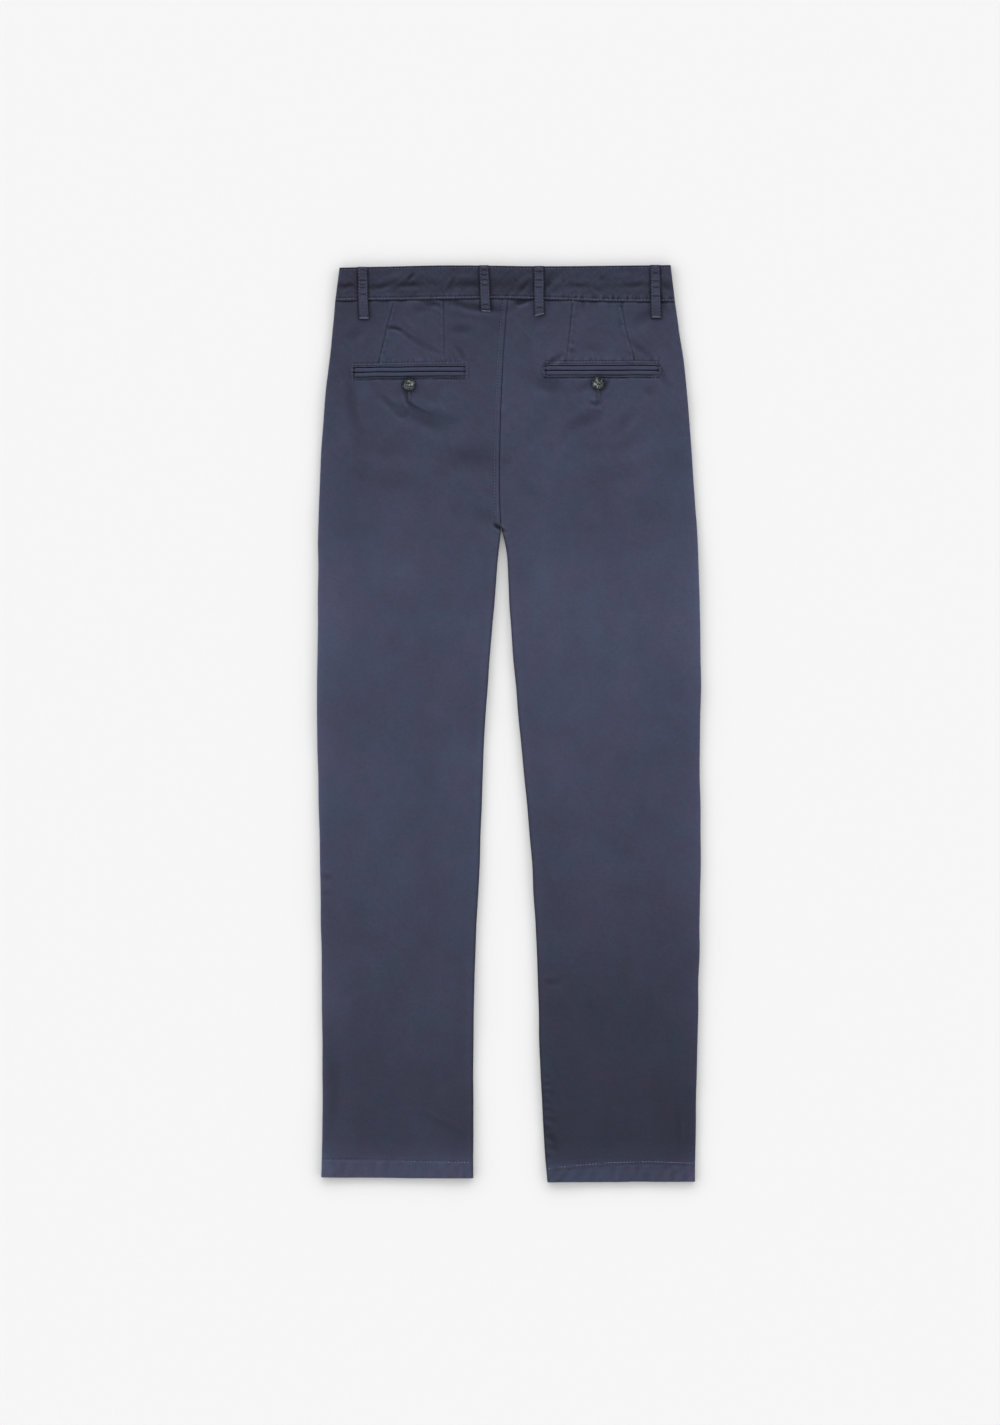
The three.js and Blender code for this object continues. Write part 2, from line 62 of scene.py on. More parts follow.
def placed(x, down, z):
    """Places across, down and above the floor, in millimetres, as points of the frame."""
    x, down, z = np.broadcast_arrays(x, down, z)
    return np.stack([x + SHIFT_X, SHIFT_Y - down, z], axis=-1) * MM


LENS = 85
SENSOR = 36
PICTURE_HEIGHT = 1638.75
PICTURE_CENTRE = (-10.35, 513.5)
CLOTH_LEVEL = 4
camera_data = bpy.data.cameras.new("camera")
camera_data.lens = LENS
camera_data.sensor_width = SENSOR
camera = bpy.data.objects.new("camera", camera_data)
camera.location = placed(*PICTURE_CENTRE, PICTURE_HEIGHT * LENS / SENSOR + CLOTH_LEVEL)
bpy.context.scene.collection.objects.link(camera)
bpy.context.scene.camera = camera
bpy.context.scene.view_settings.view_transform = "Standard"

# Floor and light
# A sheet of matt white paper in a ring of wide soft lamps, low round the walls and brightest
# beyond the waistband, so that shade gathers along every edge and crease of the cloth.


def linear(hex_colour):
    """An sRGB hex colour as the linear colour, with alpha, that a shader takes."""
    channels = [int(hex_colour[i : i + 2], 16) / 255 for i in (1, 3, 5)]
    return [c / 12.92 if c <= 0.04045 else ((c + 0.055) / 1.055) ** 2.4 for c in channels] + [1]


def add(tree, kind, settings=None, inputs=None):
    """Adds a node with its settings. An input is a value or the output that it is linked to."""
    made = tree.nodes.new(kind)
    for name, value in (settings or {}).items():
        setattr(made, name, value)
    for name, value in (inputs or {}).items():
        if isinstance(value, bpy.types.NodeSocket):
            tree.links.new(value, made.inputs[name])
        else:
            made.inputs[name].default_value = value
    return made


def new_material(name, finish):
    """A material, its node tree and its shader, with the numbers of its finish."""
    material = bpy.data.materials.new(name)
    material.use_nodes = True
    material.node_tree.nodes.clear()
    shader = add(material.node_tree, "ShaderNodeBsdfPrincipled", {}, finish)
    add(material.node_tree, "ShaderNodeOutputMaterial", {}, {"Surface": shader.outputs["BSDF"]})
    return material, material.node_tree, shader


CEILING_LIGHT = 0.35
RING_LIGHT = 3.6
RING_HEIGHT = 0.28
RING_WIDTH = 0.19
RING_TURN = 100
RING_LEAN = 0.5
world = bpy.data.worlds.new("white_studio")
world.use_nodes = True
tree = world.node_tree
tree.nodes.clear()
way = add(tree, "ShaderNodeTexCoord").outputs["Generated"]
turn = math.radians(RING_TURN)
lamp_way = (math.cos(turn), math.sin(turn), 0)
dot = {"operation": "DOT_PRODUCT"}
upward = add(tree, "ShaderNodeVectorMath", dot, {0: way, 1: (0, 0, 1)}).outputs["Value"]
toward = add(tree, "ShaderNodeVectorMath", dot, {0: way, 1: lamp_way}).outputs["Value"]
above = add(tree, "ShaderNodeMath", {"operation": "SUBTRACT"}, {0: upward, 1: RING_HEIGHT}).outputs[0]
off = add(tree, "ShaderNodeMath", {"operation": "DIVIDE"}, {0: above, 1: RING_WIDTH}).outputs[0]
square = add(tree, "ShaderNodeMath", {"operation": "MULTIPLY"}, {0: off, 1: off}).outputs[0]
fall = add(tree, "ShaderNodeMath", {"operation": "MULTIPLY"}, {0: square, 1: -1}).outputs[0]
ring = add(tree, "ShaderNodeMath", {"operation": "EXPONENT"}, {0: fall}).outputs[0]
leaning = {0: toward, 1: RING_LEAN, 2: 1}
lean = add(tree, "ShaderNodeMath", {"operation": "MULTIPLY_ADD"}, leaning).outputs[0]
lamps = add(tree, "ShaderNodeMath", {"operation": "MULTIPLY"}, {0: ring, 1: lean}).outputs[0]
brightness = {0: lamps, 1: RING_LIGHT, 2: CEILING_LIGHT}
glow = add(tree, "ShaderNodeMath", {"operation": "MULTIPLY_ADD"}, brightness).outputs[0]
ceiling = add(tree, "ShaderNodeBackground", {}, {"Color": linear("#ffffff"), "Strength": glow})
add(tree, "ShaderNodeOutputWorld", {}, {"Surface": ceiling.outputs["Background"]})
bpy.context.scene.world = world

FLOOR_SIDE = 12
FLOOR_DROP = 0.0002
floor_mesh = bpy.data.meshes.new("floor")
corners = [(x * FLOOR_SIDE / 2, y * FLOOR_SIDE / 2, -FLOOR_DROP) for x, y in
           ((-1, -1), (1, -1), (1, 1), (-1, 1))]
floor_mesh.from_pydata(corners, [], [(0, 1, 2, 3)])
floor = bpy.data.objects.new("floor", floor_mesh)
bpy.context.scene.collection.objects.link(floor)
PAPER_FINISH = {"Base Color": linear("#f3f3f3"), "Roughness": 0.9, "Specular IOR Level": 0.1}
paper, tree, shader = new_material("matt_white_paper", PAPER_FINISH)
floor_mesh.materials.append(paper)

# Cloth
# Garment-washed navy cotton twill of about 250 g/m2: matt, with a dry bloom from the brushed
# face, fine diagonal ribs, and dye that has faded a little unevenly towards blue and plum.
RIB_PITCH = 0.9
RIB_RELIEF = 0.00012
# Pitch of a wave texture's diagonal bands at a scale of 1
DIAGONAL_WAVE = 0.4443
YARN_GRAIN = 0.5
YARN_SHARE = 0.8
FLECK = 3
SMALL_PATCH = 22
LARGE_PATCH = 80
NOISE_DETAIL = {SMALL_PATCH: 2, LARGE_PATCH: 2, FLECK: 4, YARN_GRAIN: 2}
PATCH_RANGE = {"From Min": 0.75, "From Max": 1.25}
FLECK_RANGE = {"From Min": 0.3, "From Max": 0.7, "To Min": 0.93, "To Max": 1.07}
BRUSHED_FINISH = {
    "Roughness": 0.92,
    "Specular IOR Level": 0.25,
    "Sheen Weight": 0.12,
    "Sheen Roughness": 0.5,
    "Sheen Tint": linear("#aeb2c4"),
}


def twill_material(name, blue, plum):
    """Navy twill between two dyes, darkened and lightened by the mesh's tone, which holds wear, painted
    shade and painted highlight. The ribs are drawn at about twice the pitch of real ones, which are too fine
    to show."""
    material, tree, shader = new_material(name, BRUSHED_FINISH)
    place = add(tree, "ShaderNodeTexCoord").outputs["Object"]
    noise = {}
    for size, detail in NOISE_DETAIL.items():
        grain = {"Vector": place, "Scale": 1 / (size * MM), "Detail": detail}
        noise[size] = add(tree, "ShaderNodeTexNoise", {}, grain).outputs["Fac"]
    both = {0: noise[SMALL_PATCH], 1: noise[LARGE_PATCH]}
    patches = add(tree, "ShaderNodeMath", {"operation": "ADD"}, both).outputs[0]
    share = add(tree, "ShaderNodeMapRange", {}, {"Value": patches, **PATCH_RANGE}).outputs["Result"]
    dye = {0: share, 6: linear(blue), 7: linear(plum)}
    colour = add(tree, "ShaderNodeMix", {"data_type": "RGBA"}, dye).outputs[2]
    tone = add(tree, "ShaderNodeAttribute", {"attribute_name": "tone"}).outputs["Fac"]
    flecks = {"Value": noise[FLECK], **FLECK_RANGE}
    flecks = add(tree, "ShaderNodeMapRange", {}, flecks).outputs["Result"]
    for shade in (tone, flecks):
        multiply = {"data_type": "RGBA", "blend_type": "MULTIPLY"}
        colour = add(tree, "ShaderNodeMix", multiply, {0: 1, 6: colour, 7: shade}).outputs[2]
    ribs = {"Vector": place, "Scale": DIAGONAL_WAVE / (RIB_PITCH * MM), "Distortion": 0.6, "Detail": 1}
    weave = add(tree, "ShaderNodeTexWave", {"bands_direction": "DIAGONAL"}, ribs).outputs["Fac"]
    grain = {0: noise[YARN_GRAIN], 1: YARN_SHARE, 2: weave}
    yarn = add(tree, "ShaderNodeMath", {"operation": "MULTIPLY_ADD"}, grain).outputs[0]
    bump = {"Height": yarn, "Distance": RIB_RELIEF, "Strength": 0.7}
    tree.links.new(add(tree, "ShaderNodeBump", {}, bump).outputs["Normal"], shader.inputs["Normal"])
    tree.links.new(colour, shader.inputs["Base Color"])
    return material


washed_twill = twill_material("washed_navy_cotton_twill", "#3c4358", "#404056")

# Outline of the legs
# The side seams, the centre seam and the inseams lie in long easy curves. Above the crotch the
# two inner columns are one seam, and below it the legs part.
LEG_LINES = np.array([
    # down, left side seam, left inner seam, right inner seam, right side seam
    (38, -199.8, -1.2, -1.2, 190.7),
    (94, -204.8, -6.1, -6.1, 198.7),
    (150, -211.5, -8.9, -8.9, 205.4),
    (219, -216.2, -10.8, -10.8, 210.5),
    (274, -218.5, -10.6, -10.6, 214.4),
    (299, -219.2, -9.4, -9.4, 216.2),
    (315, -219.5, -10.8, -5.6, 217.0),
    (338, -219.7, -13.0, -1.5, 218.0),
    (396, -219.9, -17.3, 0.8, 219.7),
    (482, -221.0, -24.2, 7.6, 220.9),
    (568, -220.0, -29.6, 16.0, 219.7),
    (683, -217.4, -33.6, 26.0, 220.7),
    (798, -215.7, -39.1, 32.1, 218.8),
    (913, -214.6, -40.9, 35.5, 216.2),
    (1000, -215.1, -40.7, 39.9, 214.9),
    (1055, -216.0, -40.7, 45.0, 213.9),
])
WAIST_LINES = np.array([
    # across, top of the waistband, waist seam
    (-200, 2.1, 40.3),
    (-125, 0.4, 39.4),
    (-79, -0.6, 38.5),
    (-16, -0.3, 37.7),
    (28, 0.4, 38.6),
    (82, 0.1, 40.0),
    (128, -0.4, 41.2),
    (191, -1.0, 41.2),
])
WAIST = 40
CROTCH = 299
HEM = 1050
LOOPS = {
    # centre at the top edge, centre at the lower end, and how far down that is
    "side_left": (-168.6, -166.8, 61.0),
    "back_left": (-28.9, -26.5, 52.7),
    "back_right": (34.3, 35.0, 56.8),
    "side_right": (167.9, 169.4, 59.7),
}
LOOP_WIDTH = 11
LEFT_OUTER, LEFT_INNER, RIGHT_INNER, RIGHT_OUTER = 1, 2, 3, 4
LEGS = {
    "left": {"outer": LEFT_OUTER, "inner": LEFT_INNER, "way": -1, "hem": (1048.3, 1049.4)},
    "right": {"outer": RIGHT_OUTER, "inner": RIGHT_INNER, "way": 1, "hem": (1052.9, 1054.0)},
}
SEAM_GAP = 0.3
EDGE_SWAY = 0.45
EDGE_SWAY_LENGTH = 34


def mix(a, b, share):
    return a + (b - a) * share


def smooth(value, start, end):
    """Rises softly from 0 at start to 1 at end."""
    t = np.clip((value - start) / (end - start), 0, 1)
    return t * t * (3 - 2 * t)


def bell(value, width):
    return np.exp(-((value / width) ** 2))


def along(table, column, at):
    """A smooth line through one column of a table, by its first column."""
    keys, values = table[:, 0], table[:, column]
    slopes = np.gradient(values) / np.gradient(keys)
    row = np.clip(np.searchsorted(keys, at, side="right") - 1, 0, len(keys) - 2)
    span = keys[row + 1] - keys[row]
    t = (at - keys[row]) / span
    bend = t * (1 - t) * span * ((1 - t) * slopes[row] - t * slopes[row + 1])
    return mix(values[row], values[row + 1], t * t * (3 - 2 * t)) + bend


LUMP_GRID = 300


def lumps(x, down, across, length, seed):
    """Soft uneven swells, from -1 to 1, about as wide and long as given."""
    grid = np.random.default_rng(seed).uniform(-1, 1, (LUMP_GRID, LUMP_GRID))
    u, v = np.broadcast_arrays((x + 400) / across, (down + 60) / length)
    i, j = np.floor(u).astype(int), np.floor(v).astype(int)
    s, t = smooth(u - i, 0, 1), smooth(v - j, 0, 1)
    i, j = i % (LUMP_GRID - 1), j % (LUMP_GRID - 1)
    upper = mix(grid[i, j], grid[i + 1, j], s)
    return mix(upper, mix(grid[i, j + 1], grid[i + 1, j + 1], s), t)


def seam_line(column, down):
    """A side seam or inseam, with the small sway of sewn cloth."""
    sway = EDGE_SWAY * lumps(column * 90, down, 1, EDGE_SWAY_LENGTH, 4)
    return along(LEG_LINES, column, down) + sway * smooth(down, WAIST, WAIST + 30)


def inner_line(leg, down):
    """The centre seam above the crotch, and the leg's own inseam below it."""
    centre = (along(LEG_LINES, LEFT_INNER, down) + along(LEG_LINES, RIGHT_INNER, down)) / 2
    return np.where(down < CROTCH, centre, seam_line(leg["inner"], np.maximum(down, CROTCH)))


def parted(down):
    """From 0 where the legs are joined in the centre seam to 1 where they are apart."""
    return smooth(down, CROTCH - 8, CROTCH + 22)


def waist_top(x):
    return along(WAIST_LINES, 1, np.clip(x, -200, 191))


def waist_seam(x):
    return along(WAIST_LINES, 2, np.clip(x, -200, 191))


def loop_centre(loop, down):
    top, end, end_down = LOOPS[loop]
    return mix(top, end, down / end_down)


def beside_loops(x, down):
    """From 0 to 1, how close each place is to the edge of a belt loop."""
    close = 0
    for loop, (_, _, end_down) in LOOPS.items():
        past = np.maximum(0, np.abs(x - loop_centre(loop, down)) - LOOP_WIDTH / 2)
        close = np.maximum(close, bell(np.hypot(past, np.maximum(0, down - end_down)), 1.6))
    return close


# Back panels
# Each is cut in one piece from the waist seam to the hem, with two darts, and joined to its
# mirror image in the centre seam. Laid flat it keeps the creases of packing and wear.
BACK_FACE = 3.7
LOWEST_FACE = 2.45
EDGE_MIDDLE = 2.1
SHELL = 0.8
EDGE_ROLL = 2.6
ROLL_STEPS = 8
EDGE_BEAD = 0.6
EDGE_BEAD_WIDTH = 11
WAIST_LIFT = 0.8
WAIST_LIFT_LENGTH = 70
HEM_TOP = HEM - 20
HEM_RAISE = 0.45
DARTS = {
    "left": [((-133.4, 44), (-140.5, 72), (-150.2, 112)), ((-75.6, 43), (-75.1, 70), (-74.5, 112))],
    "right": [((72.9, 44), (70.4, 72), (65.9, 109)), ((129.6, 45), (134.2, 72), (144.7, 108))],
}
MOUTHS = {
    "left": ((-177, 122.3), (-52.3, 121.0)),
    "right": ((43.2, 120.3), (170.0, 119.9)),
}
HEM_LINES = {
    "left": np.array([(-214, 1028.5), (-160, 1029), (-100, 1030.5), (-43, 1031)]),
    "right": np.array([(45, 1037.8), (77, 1034.4), (116, 1031.2), (162, 1030.1), (213, 1031.8)]),
}
# Each fold is its width, its rise, down when negative, and the places that it runs through.
BROAD_FOLDS = [
    (8, -0.5, (-137, 70), (-78, 100)),
    (12, -0.6, (-131, 163), (-68, 186)),
    (10, -0.5, (-182, 131), (-178, 180)),
    (12, -0.4, (20, 138), (76, 141)),
    (11, -0.35, (96, 60), (128, 96)),
    (11, -0.8, (150, 67), (176, 66)),
    (9, -0.7, (147, 46), (158, 60)),
    (8, -0.5, (106, 95), (121, 85)),
    (9, -0.6, (-197, 46), (-186, 70)),
    (9, -0.6, (-160, 62), (-148, 76)),
    (12, -0.4, (176, 126), (184, 190)),
    (26, 0.7, (-30, 200), (-150, 262)),
    (26, 0.7, (20, 210), (140, 290)),
    (46, 0.9, (-120, 360), (-128, 620)),
    (46, 0.9, (112, 370), (122, 640)),
    (26, 0.4, (-80, 690), (-170, 735)),
    (26, 0.4, (70, 700), (190, 760)),
    (40, 0.7, (-128, 780), (-130, 940)),
    (40, 0.7, (122, 790), (128, 950)),
    (10, -0.4, (-114, 979), (-52, 1002)),
    (12, -0.3, (-196, 940), (-194, 1000)),
    (12, -0.3, (56, 1006), (200, 1010)),
]
SEAT_CREASES = [
    (2.6, -0.45, (-138, 70), (-126.5, 72.6), (-119.6, 77.4), (-108, 85), (-93, 93), (-78, 99)),
    (2, -0.7, (-141, 69.5), (-132, 71), (-124, 74)),
    (9, -0.42, (-118, 80), (-98, 92), (-80, 98)),
    (4.5, 0.28, (-131, 62), (-110, 68), (-90, 80)),
    (4, -0.5, (-113.9, 53.5), (-96.6, 49.2), (-82.2, 44.9)),
    (5, -0.8, (-68, 73), (-42, 76)),
    (4.5, -1.2, (-76, 42.5), (-62, 44.5), (-44, 47.5), (-27.6, 49.2), (-4.6, 53)),
    (2.5, -0.7, (-100, 42), (-84, 45), (-76, 50)),
    (3, -0.8, (1.1, 40.2), (13.8, 43), (26, 41)),
    (3.5, -0.8, (2, 50), (14, 44), (24, 41)),
    (3, -0.5, (-59.2, 93.7), (-49.2, 109.5)),
    (7, -0.7, (-185.7, 88), (-171.4, 70.7)),
    (8, -0.8, (-181.4, 131), (-178.5, 171.4), (-174.2, 194.4)),
    (8, -1.1, (-131.1, 165.6), (-108.1, 171.4), (-79.4, 184.3), (-65, 185.7)),
    (2.6, -1.1, (-118.5, 144), (-116.3, 156), (-111.2, 163.3), (-104, 168.5), (-92, 172)),
    (3, -0.8, (-129, 170), (-122, 172), (-116, 167)),
    (4, -0.5, (-152, 150), (-140, 158), (-128, 168)),
    (7, -0.5, (-85, 171.4), (-50.6, 174.2)),
    (6, 0.5, (-105, 160), (-56, 168.5)),
    (13, -0.8, (-73.6, 217), (-13, 226)),
    (9, -0.5, (-42, 282), (-26, 290), (-14, 299)),
    (2.4, -1.4, (-17, 297.5), (-11, 301), (-5, 304)),
    (9, 0.6, (-190, 214), (-150, 232), (-96, 238)),
    (6, -0.7, (142, 68), (165, 49)),
    (4, -0.5, (133.4, 82), (153.5, 96.6), (167.9, 111)),
    (5, -0.6, (170.8, 113.9), (182.3, 136.9)),
    (3, -0.9, (40.4, 115.5), (50, 108), (61.5, 102.4)),
    (8, -1.1, (29.9, 134), (61.5, 141.2)),
    (5, -0.6, (75.9, 144), (96, 135.4)),
    (2.6, -0.9, (93, 157.5), (100, 158.8), (106, 157)),
    (3, -0.6, (106, 146), (113, 136), (118, 128)),
    (7, -0.8, (64.4, 188.6), (96, 174), (110, 162.7)),
    (6, -0.5, (124.8, 188.6), (144.9, 168.5)),
    (5, -0.5, (156.4, 148.4), (165, 139.7)),
    (9, 0.6, (184, 206), (130, 226), (84, 230)),
    (10, -0.25, (16, 246), (40, 276)),
    (7, -0.4, (20, 66), (52, 60)),
    (6, -0.35, (86, 92), (118, 100)),
]
DART_PUCKERS = [(3, -0.4, (68.5, d), (77.5, d + 2)) for d in (59, 66, 86.5, 96.6)] + [
    (3, -0.35, (124, d), (132, d + 2.5)) for d in (46, 53, 60, 66)]
LEG_CREASES = [
    (3, -0.5, (-218, 704), (-203, 704)),
    (3, -0.5, (-216, 720.5), (-203, 720.5)),
    (5, -0.3, (-194.4, 838), (-171.4, 824)),
    (9, -0.6, (-207.3, 890), (-203, 927.5), (-202, 959), (-205, 999)),
    (3, 0.2, (-117, 970), (-93.7, 973), (-67.9, 985), (-50.6, 994)),
    (4, -0.15, (-113.9, 978), (-93.7, 982), (-67.9, 995), (-50.6, 1003.8)),
    (4, 0.5, (37, 817.6), (54.3, 813.9), (60, 811)),
    (4, -0.6, (38, 824), (54.3, 820), (62, 816)),
    (5, -0.6, (41.4, 993.6), (58.6, 1013.7)),
    (3, -0.22, (193.8, 970.6), (193.8, 1013.7)),
    (3, 0.2, (201, 966), (201, 1014)),
    (16, 0.3, (-205, 330), (-120, 352), (-40, 340)),
    (18, -0.2, (-200, 372), (-110, 398), (-40, 386)),
    (16, 0.25, (30, 350), (120, 366), (205, 344)),
    (20, 0.25, (-196, 560), (-150, 600), (-60, 622)),
    (20, 0.25, (60, 590), (140, 622), (206, 600)),
]
INSEAM_DENTS = [(3, -0.45, (38, d), (48 + 4 * (i % 3), d + 3)) for i, d in enumerate(range(930, 1030, 10))]
POCKET_BUTTONS = {"left": LEFT_BUTTON_PLACE, "right": (102.6, 134.9)}
BUTTON_RADIUS = 7.5
BUTTONHOLE_END = 17.5
CREASES = SEAT_CREASES + DART_PUCKERS + LEG_CREASES + INSEAM_DENTS
SHOULDER = 0.3
SHOULDER_PLACE = 1.9
CREASE_SWAY = 2.2
CREASE_SWAY_SIZE = 21


def to_line(x, down, points):
    """How far each place is from a line through the points, and its share of the way along it."""
    nearest = np.full(np.broadcast(x, down).shape, np.inf)
    share = np.zeros_like(nearest)
    steps = [math.dist(a, b) for a, b in zip(points, points[1:])]
    done = 0
    for (x0, d0), (x1, d1), step in zip(points, points[1:], steps):
        t = np.clip(((x - x0) * (x1 - x0) + (down - d0) * (d1 - d0)) / step**2, 0, 1)
        gap = np.hypot(x - mix(x0, x1, t), down - mix(d0, d1, t))
        share = np.where(gap < nearest, (done + t * step) / sum(steps), share)
        nearest = np.minimum(gap, nearest)
        done += step
    return nearest, share


def folds(x, down, table, swayed):
    """Height of the folds at each place. Swayed ones wander, taper and have soft shoulders."""
    total = np.zeros(np.broadcast(x, down).shape)
    if swayed:
        x, down = (x + CREASE_SWAY * lumps(x, down, CREASE_SWAY_SIZE, CREASE_SWAY_SIZE, 11),
                   down + CREASE_SWAY * lumps(x, down, CREASE_SWAY_SIZE, CREASE_SWAY_SIZE, 12))
    for width, rise, *points in table:
        gap, share = to_line(x, down, points)
        q = gap / width
        if swayed:
            taper = 0.25 + 0.75 * np.sin(math.pi * share)
            total += rise * taper * (np.exp(-q * q) - SHOULDER * np.exp(-1.5 * (q - SHOULDER_PLACE) ** 2))
        else:
            total += rise * np.exp(-q * q)
    return total


def nearest_dart(leg_name, x, down):
    """Signed distance to the nearest dart, positive on the side between the panel's two darts."""
    best = np.full(np.broadcast(x, down).shape, np.inf)
    for points, inward in zip(DARTS[leg_name], (1, -1)):
        gap, _ = to_line(x, down, points)
        line = np.interp(down, [p[1] for p in points], [p[0] for p in points])
        best = np.where(gap < np.abs(best), gap * np.where(x < line, -inward, inward), best)
    return best


def mouth_distance(leg_name, x, down):
    """How far down from the pocket's mouth each place is, and how far past the mouth's ends."""
    (x0, d0), (x1, d1) = MOUTHS[leg_name]
    off = down - mix(d0, d1, (x - x0) / (x1 - x0)) - 0.3 * lumps(x, 0, 21, 1, 41)
    past = np.maximum(0, np.maximum(x0 - x, x - x1))
    return off, past


# Grooves and ridges of a pocket: how far down from the mouth, width, rise, and painted shade (a painted
# highlight where negative)
POCKET_LINES = [
    (-10.6, 1.0, -0.35, 0.1),
    (-7.6, 0.6, -0.4, 0.3),
    (-6.4, 0.6, 0.35, -0.08),
    (-5.2, 0.8, -1.2, 0.72),
    (0.0, 1.0, -1.6, 0.85),
    (5.1, 0.5, -0.9, 0.5),
    (6.3, 0.6, 0.3, -0.06),
    (8.0, 0.9, -0.9, 0.5),
]
# Grooves past the ends of the mouth: how far past, and strength
END_LINES = [(1.3, 1), (6.5, 0.7)]
END_SHADE = {"left": 0.25, "right": 0.42}
BOX_TOP = -11.4
BOX_SHADE = {"left": 0, "right": 0.18}


def pocket_relief(leg_name, x, down):
    """Height and painted shade of the stitched box and folded edges round a pocket's mouth."""
    off, past = mouth_distance(leg_name, x, down)
    uneven = 1 + 0.35 * lumps(x, down, 5, 40, 44) + 0.3 * lumps(x, down, 17, 40, 45) + 0.4 * bell(x + 68, 18)
    inside = bell(past, 2.5) * uneven
    rise = sum(height * bell(off - at, width) for at, width, height, _ in POCKET_LINES) * inside
    shade = sum(dark * bell(off - at, width) for at, width, _, dark in POCKET_LINES) * inside
    point = 0.45 * np.abs(off) if leg_name == "right" else 0.03 * off**2
    for at, strength in END_LINES:
        line = strength * bell(past + (point if at > 3 else 0) - at, 0.8)
        line = line * smooth(np.abs(off), 11, 7) * (past > 0)
        rise = rise - 0.5 * line
        shade = shade + END_SHADE[leg_name] * line
    return rise, shade + BOX_SHADE[leg_name] * bell(off - BOX_TOP, 0.8) * bell(past, 2.5)


def stitched(x, down):
    """Small even swells and dents, as thread pulls cloth up between its stitches."""
    return lumps(x, down, 2.1, 2.3, 46)


SEAM_ALLOWANCE = 4.5
SEAM_STITCH = SEAM_ALLOWANCE + 1.2
CREASE_DEPTH = 1.7
YOKE_REACH = (330, 180)
STREAK_RISE = 0.25
ROPING_PITCH = 16
ROPING_RISE = {"left": 0.15, "right": 0.3}
FLOOR_HARDNESS = 4
# Uneven swells: rise, lean, width, length, seed, and where they are
BACK_SWELLS = [
    (0.7, 0, 46, 70, 1, "all over"),
    (0.18, 0.5, 15, 21, 2, "all over"),
    (0.22, 0.5, 15, 21, 2, "yoke"),
    (0.05, -0.4, 7, 9, 9, "all over"),
    (0.2, -0.4, 7, 9, 9, "yoke"),
    (0.6, 0, 5, 26, 3, "waist seam"),
    (0.8, 0, 2.2, 30, 47, "above the mouth"),
    (0.25, 0, 3.5, 30, 48, "below the mouth"),
    (0.3, 0, 30, 7.5, 5, "side seam"),
    (0.3, 0, 30, 7, 6, "inner seam"),
    (0.3, 0, 60, 3.4, 49, "darts"),
    (0.4, 0, 7, 14, 12, "hem"),
]
MOTTLE = [
    (0.08, 0, 50, 70, 21, "all over"),
    (0.05, 0, 19, 26, 22, "all over"),
    (0.03, 0, 8, 10, 23, "all over"),
]


def swells(x, down, table, places):
    """Height of the swells in a table, each where its place is."""
    return sum(rise * lumps(x + lean * down, down, width, length, seed) * places[place]
               for rise, lean, width, length, seed, place in table)


def back_face(leg_name, x, down):
    """Height of the back's outer face above the floor."""
    leg = LEGS[leg_name]
    outer = np.abs(x - seam_line(leg["outer"], down))
    inner = np.abs(x - inner_line(leg, down))
    dart = nearest_dart(leg_name, x, down)
    off, past = mouth_distance(leg_name, x, down)
    places = {
        "all over": 1,
        "yoke": smooth(down, *YOKE_REACH),
        "waist seam": bell(down - WAIST, 11),
        "above the mouth": bell(off + 13, 3.2) * bell(past, 6),
        "below the mouth": bell(off - 11, 3) * bell(past, 6),
        "side seam": bell(outer, 9),
        "inner seam": bell(inner, 8),
        "darts": bell(dart - 3, 4),
        "hem": smooth(down, HEM_TOP - 1, HEM_TOP + 4),
    }
    free = parted(down)
    face = BACK_FACE + EDGE_BEAD * (bell(outer, EDGE_BEAD_WIDTH) + free * bell(inner, EDGE_BEAD_WIDTH))
    face = face + WAIST_LIFT * (1 - smooth(down, WAIST, WAIST + WAIST_LIFT_LENGTH))
    face = face + HEM_RAISE * smooth(down, HEM_TOP - 1, HEM_TOP + 1)
    face = face + folds(x, down, BROAD_FOLDS, False) + CREASE_DEPTH * folds(x, down, CREASES, True)
    face = face + swells(x, down, BACK_SWELLS, places)
    lean = leg["way"] * down
    face = face + STREAK_RISE * places["yoke"] * lumps(x + lean, x - lean, 13, 70, 10)
    wave = 2 * math.pi * (x + 0.7 * (down - HEM)) / ROPING_PITCH + 2.2 * lumps(x, down, 40, 40, 7)
    face = face + ROPING_RISE[leg_name] * np.sin(wave) * places["hem"]
    face = face - 0.48 * bell(dart, 0.7) + (0.25 + 0.5 * stitched(x, down)) * bell(dart - 2.4, 1.4)
    face = face + pocket_relief(leg_name, x, down)[0]
    face = face - (1 - free) * mix(0.45, 0.7, smooth(down, 70, 170)) * bell(inner, 0.8)
    if leg_name == "left":
        allowance = 0.4 * bell(inner - SEAM_ALLOWANCE / 2 - 0.4, 2.1) - 0.22 * bell(inner - SEAM_STITCH, 0.9)
        face = face + (1 - free) * allowance
    hem_line = along(HEM_LINES[leg_name], 1, x)
    face = face - (0.35 + 0.25 * stitched(x, down)) * bell(down - hem_line, 1.1)
    face = face - 0.8 * bell(down - WAIST, 1.2)
    return LOWEST_FACE + np.logaddexp(0, (face - LOWEST_FACE) * FLOOR_HARDNESS) / FLOOR_HARDNESS


RELIEF_REACH = 2.6
WEAR_AND_SHADE = 0.55


def wear_and_hollow_shade(face, x, down):
    """How pale the cloth is painted on the ridges of a face, partly where its dye rubs off, and the painted
    shade that darkens its hollows.
    """
    shifts = ((RELIEF_REACH, 0), (-RELIEF_REACH, 0), (0, RELIEF_REACH), (0, -RELIEF_REACH))
    around = sum(face(x + across, down + along_it) for across, along_it in shifts) / 4
    return np.clip(1 + WEAR_AND_SHADE * (face(x, down) - around), 0.5, 1.25)
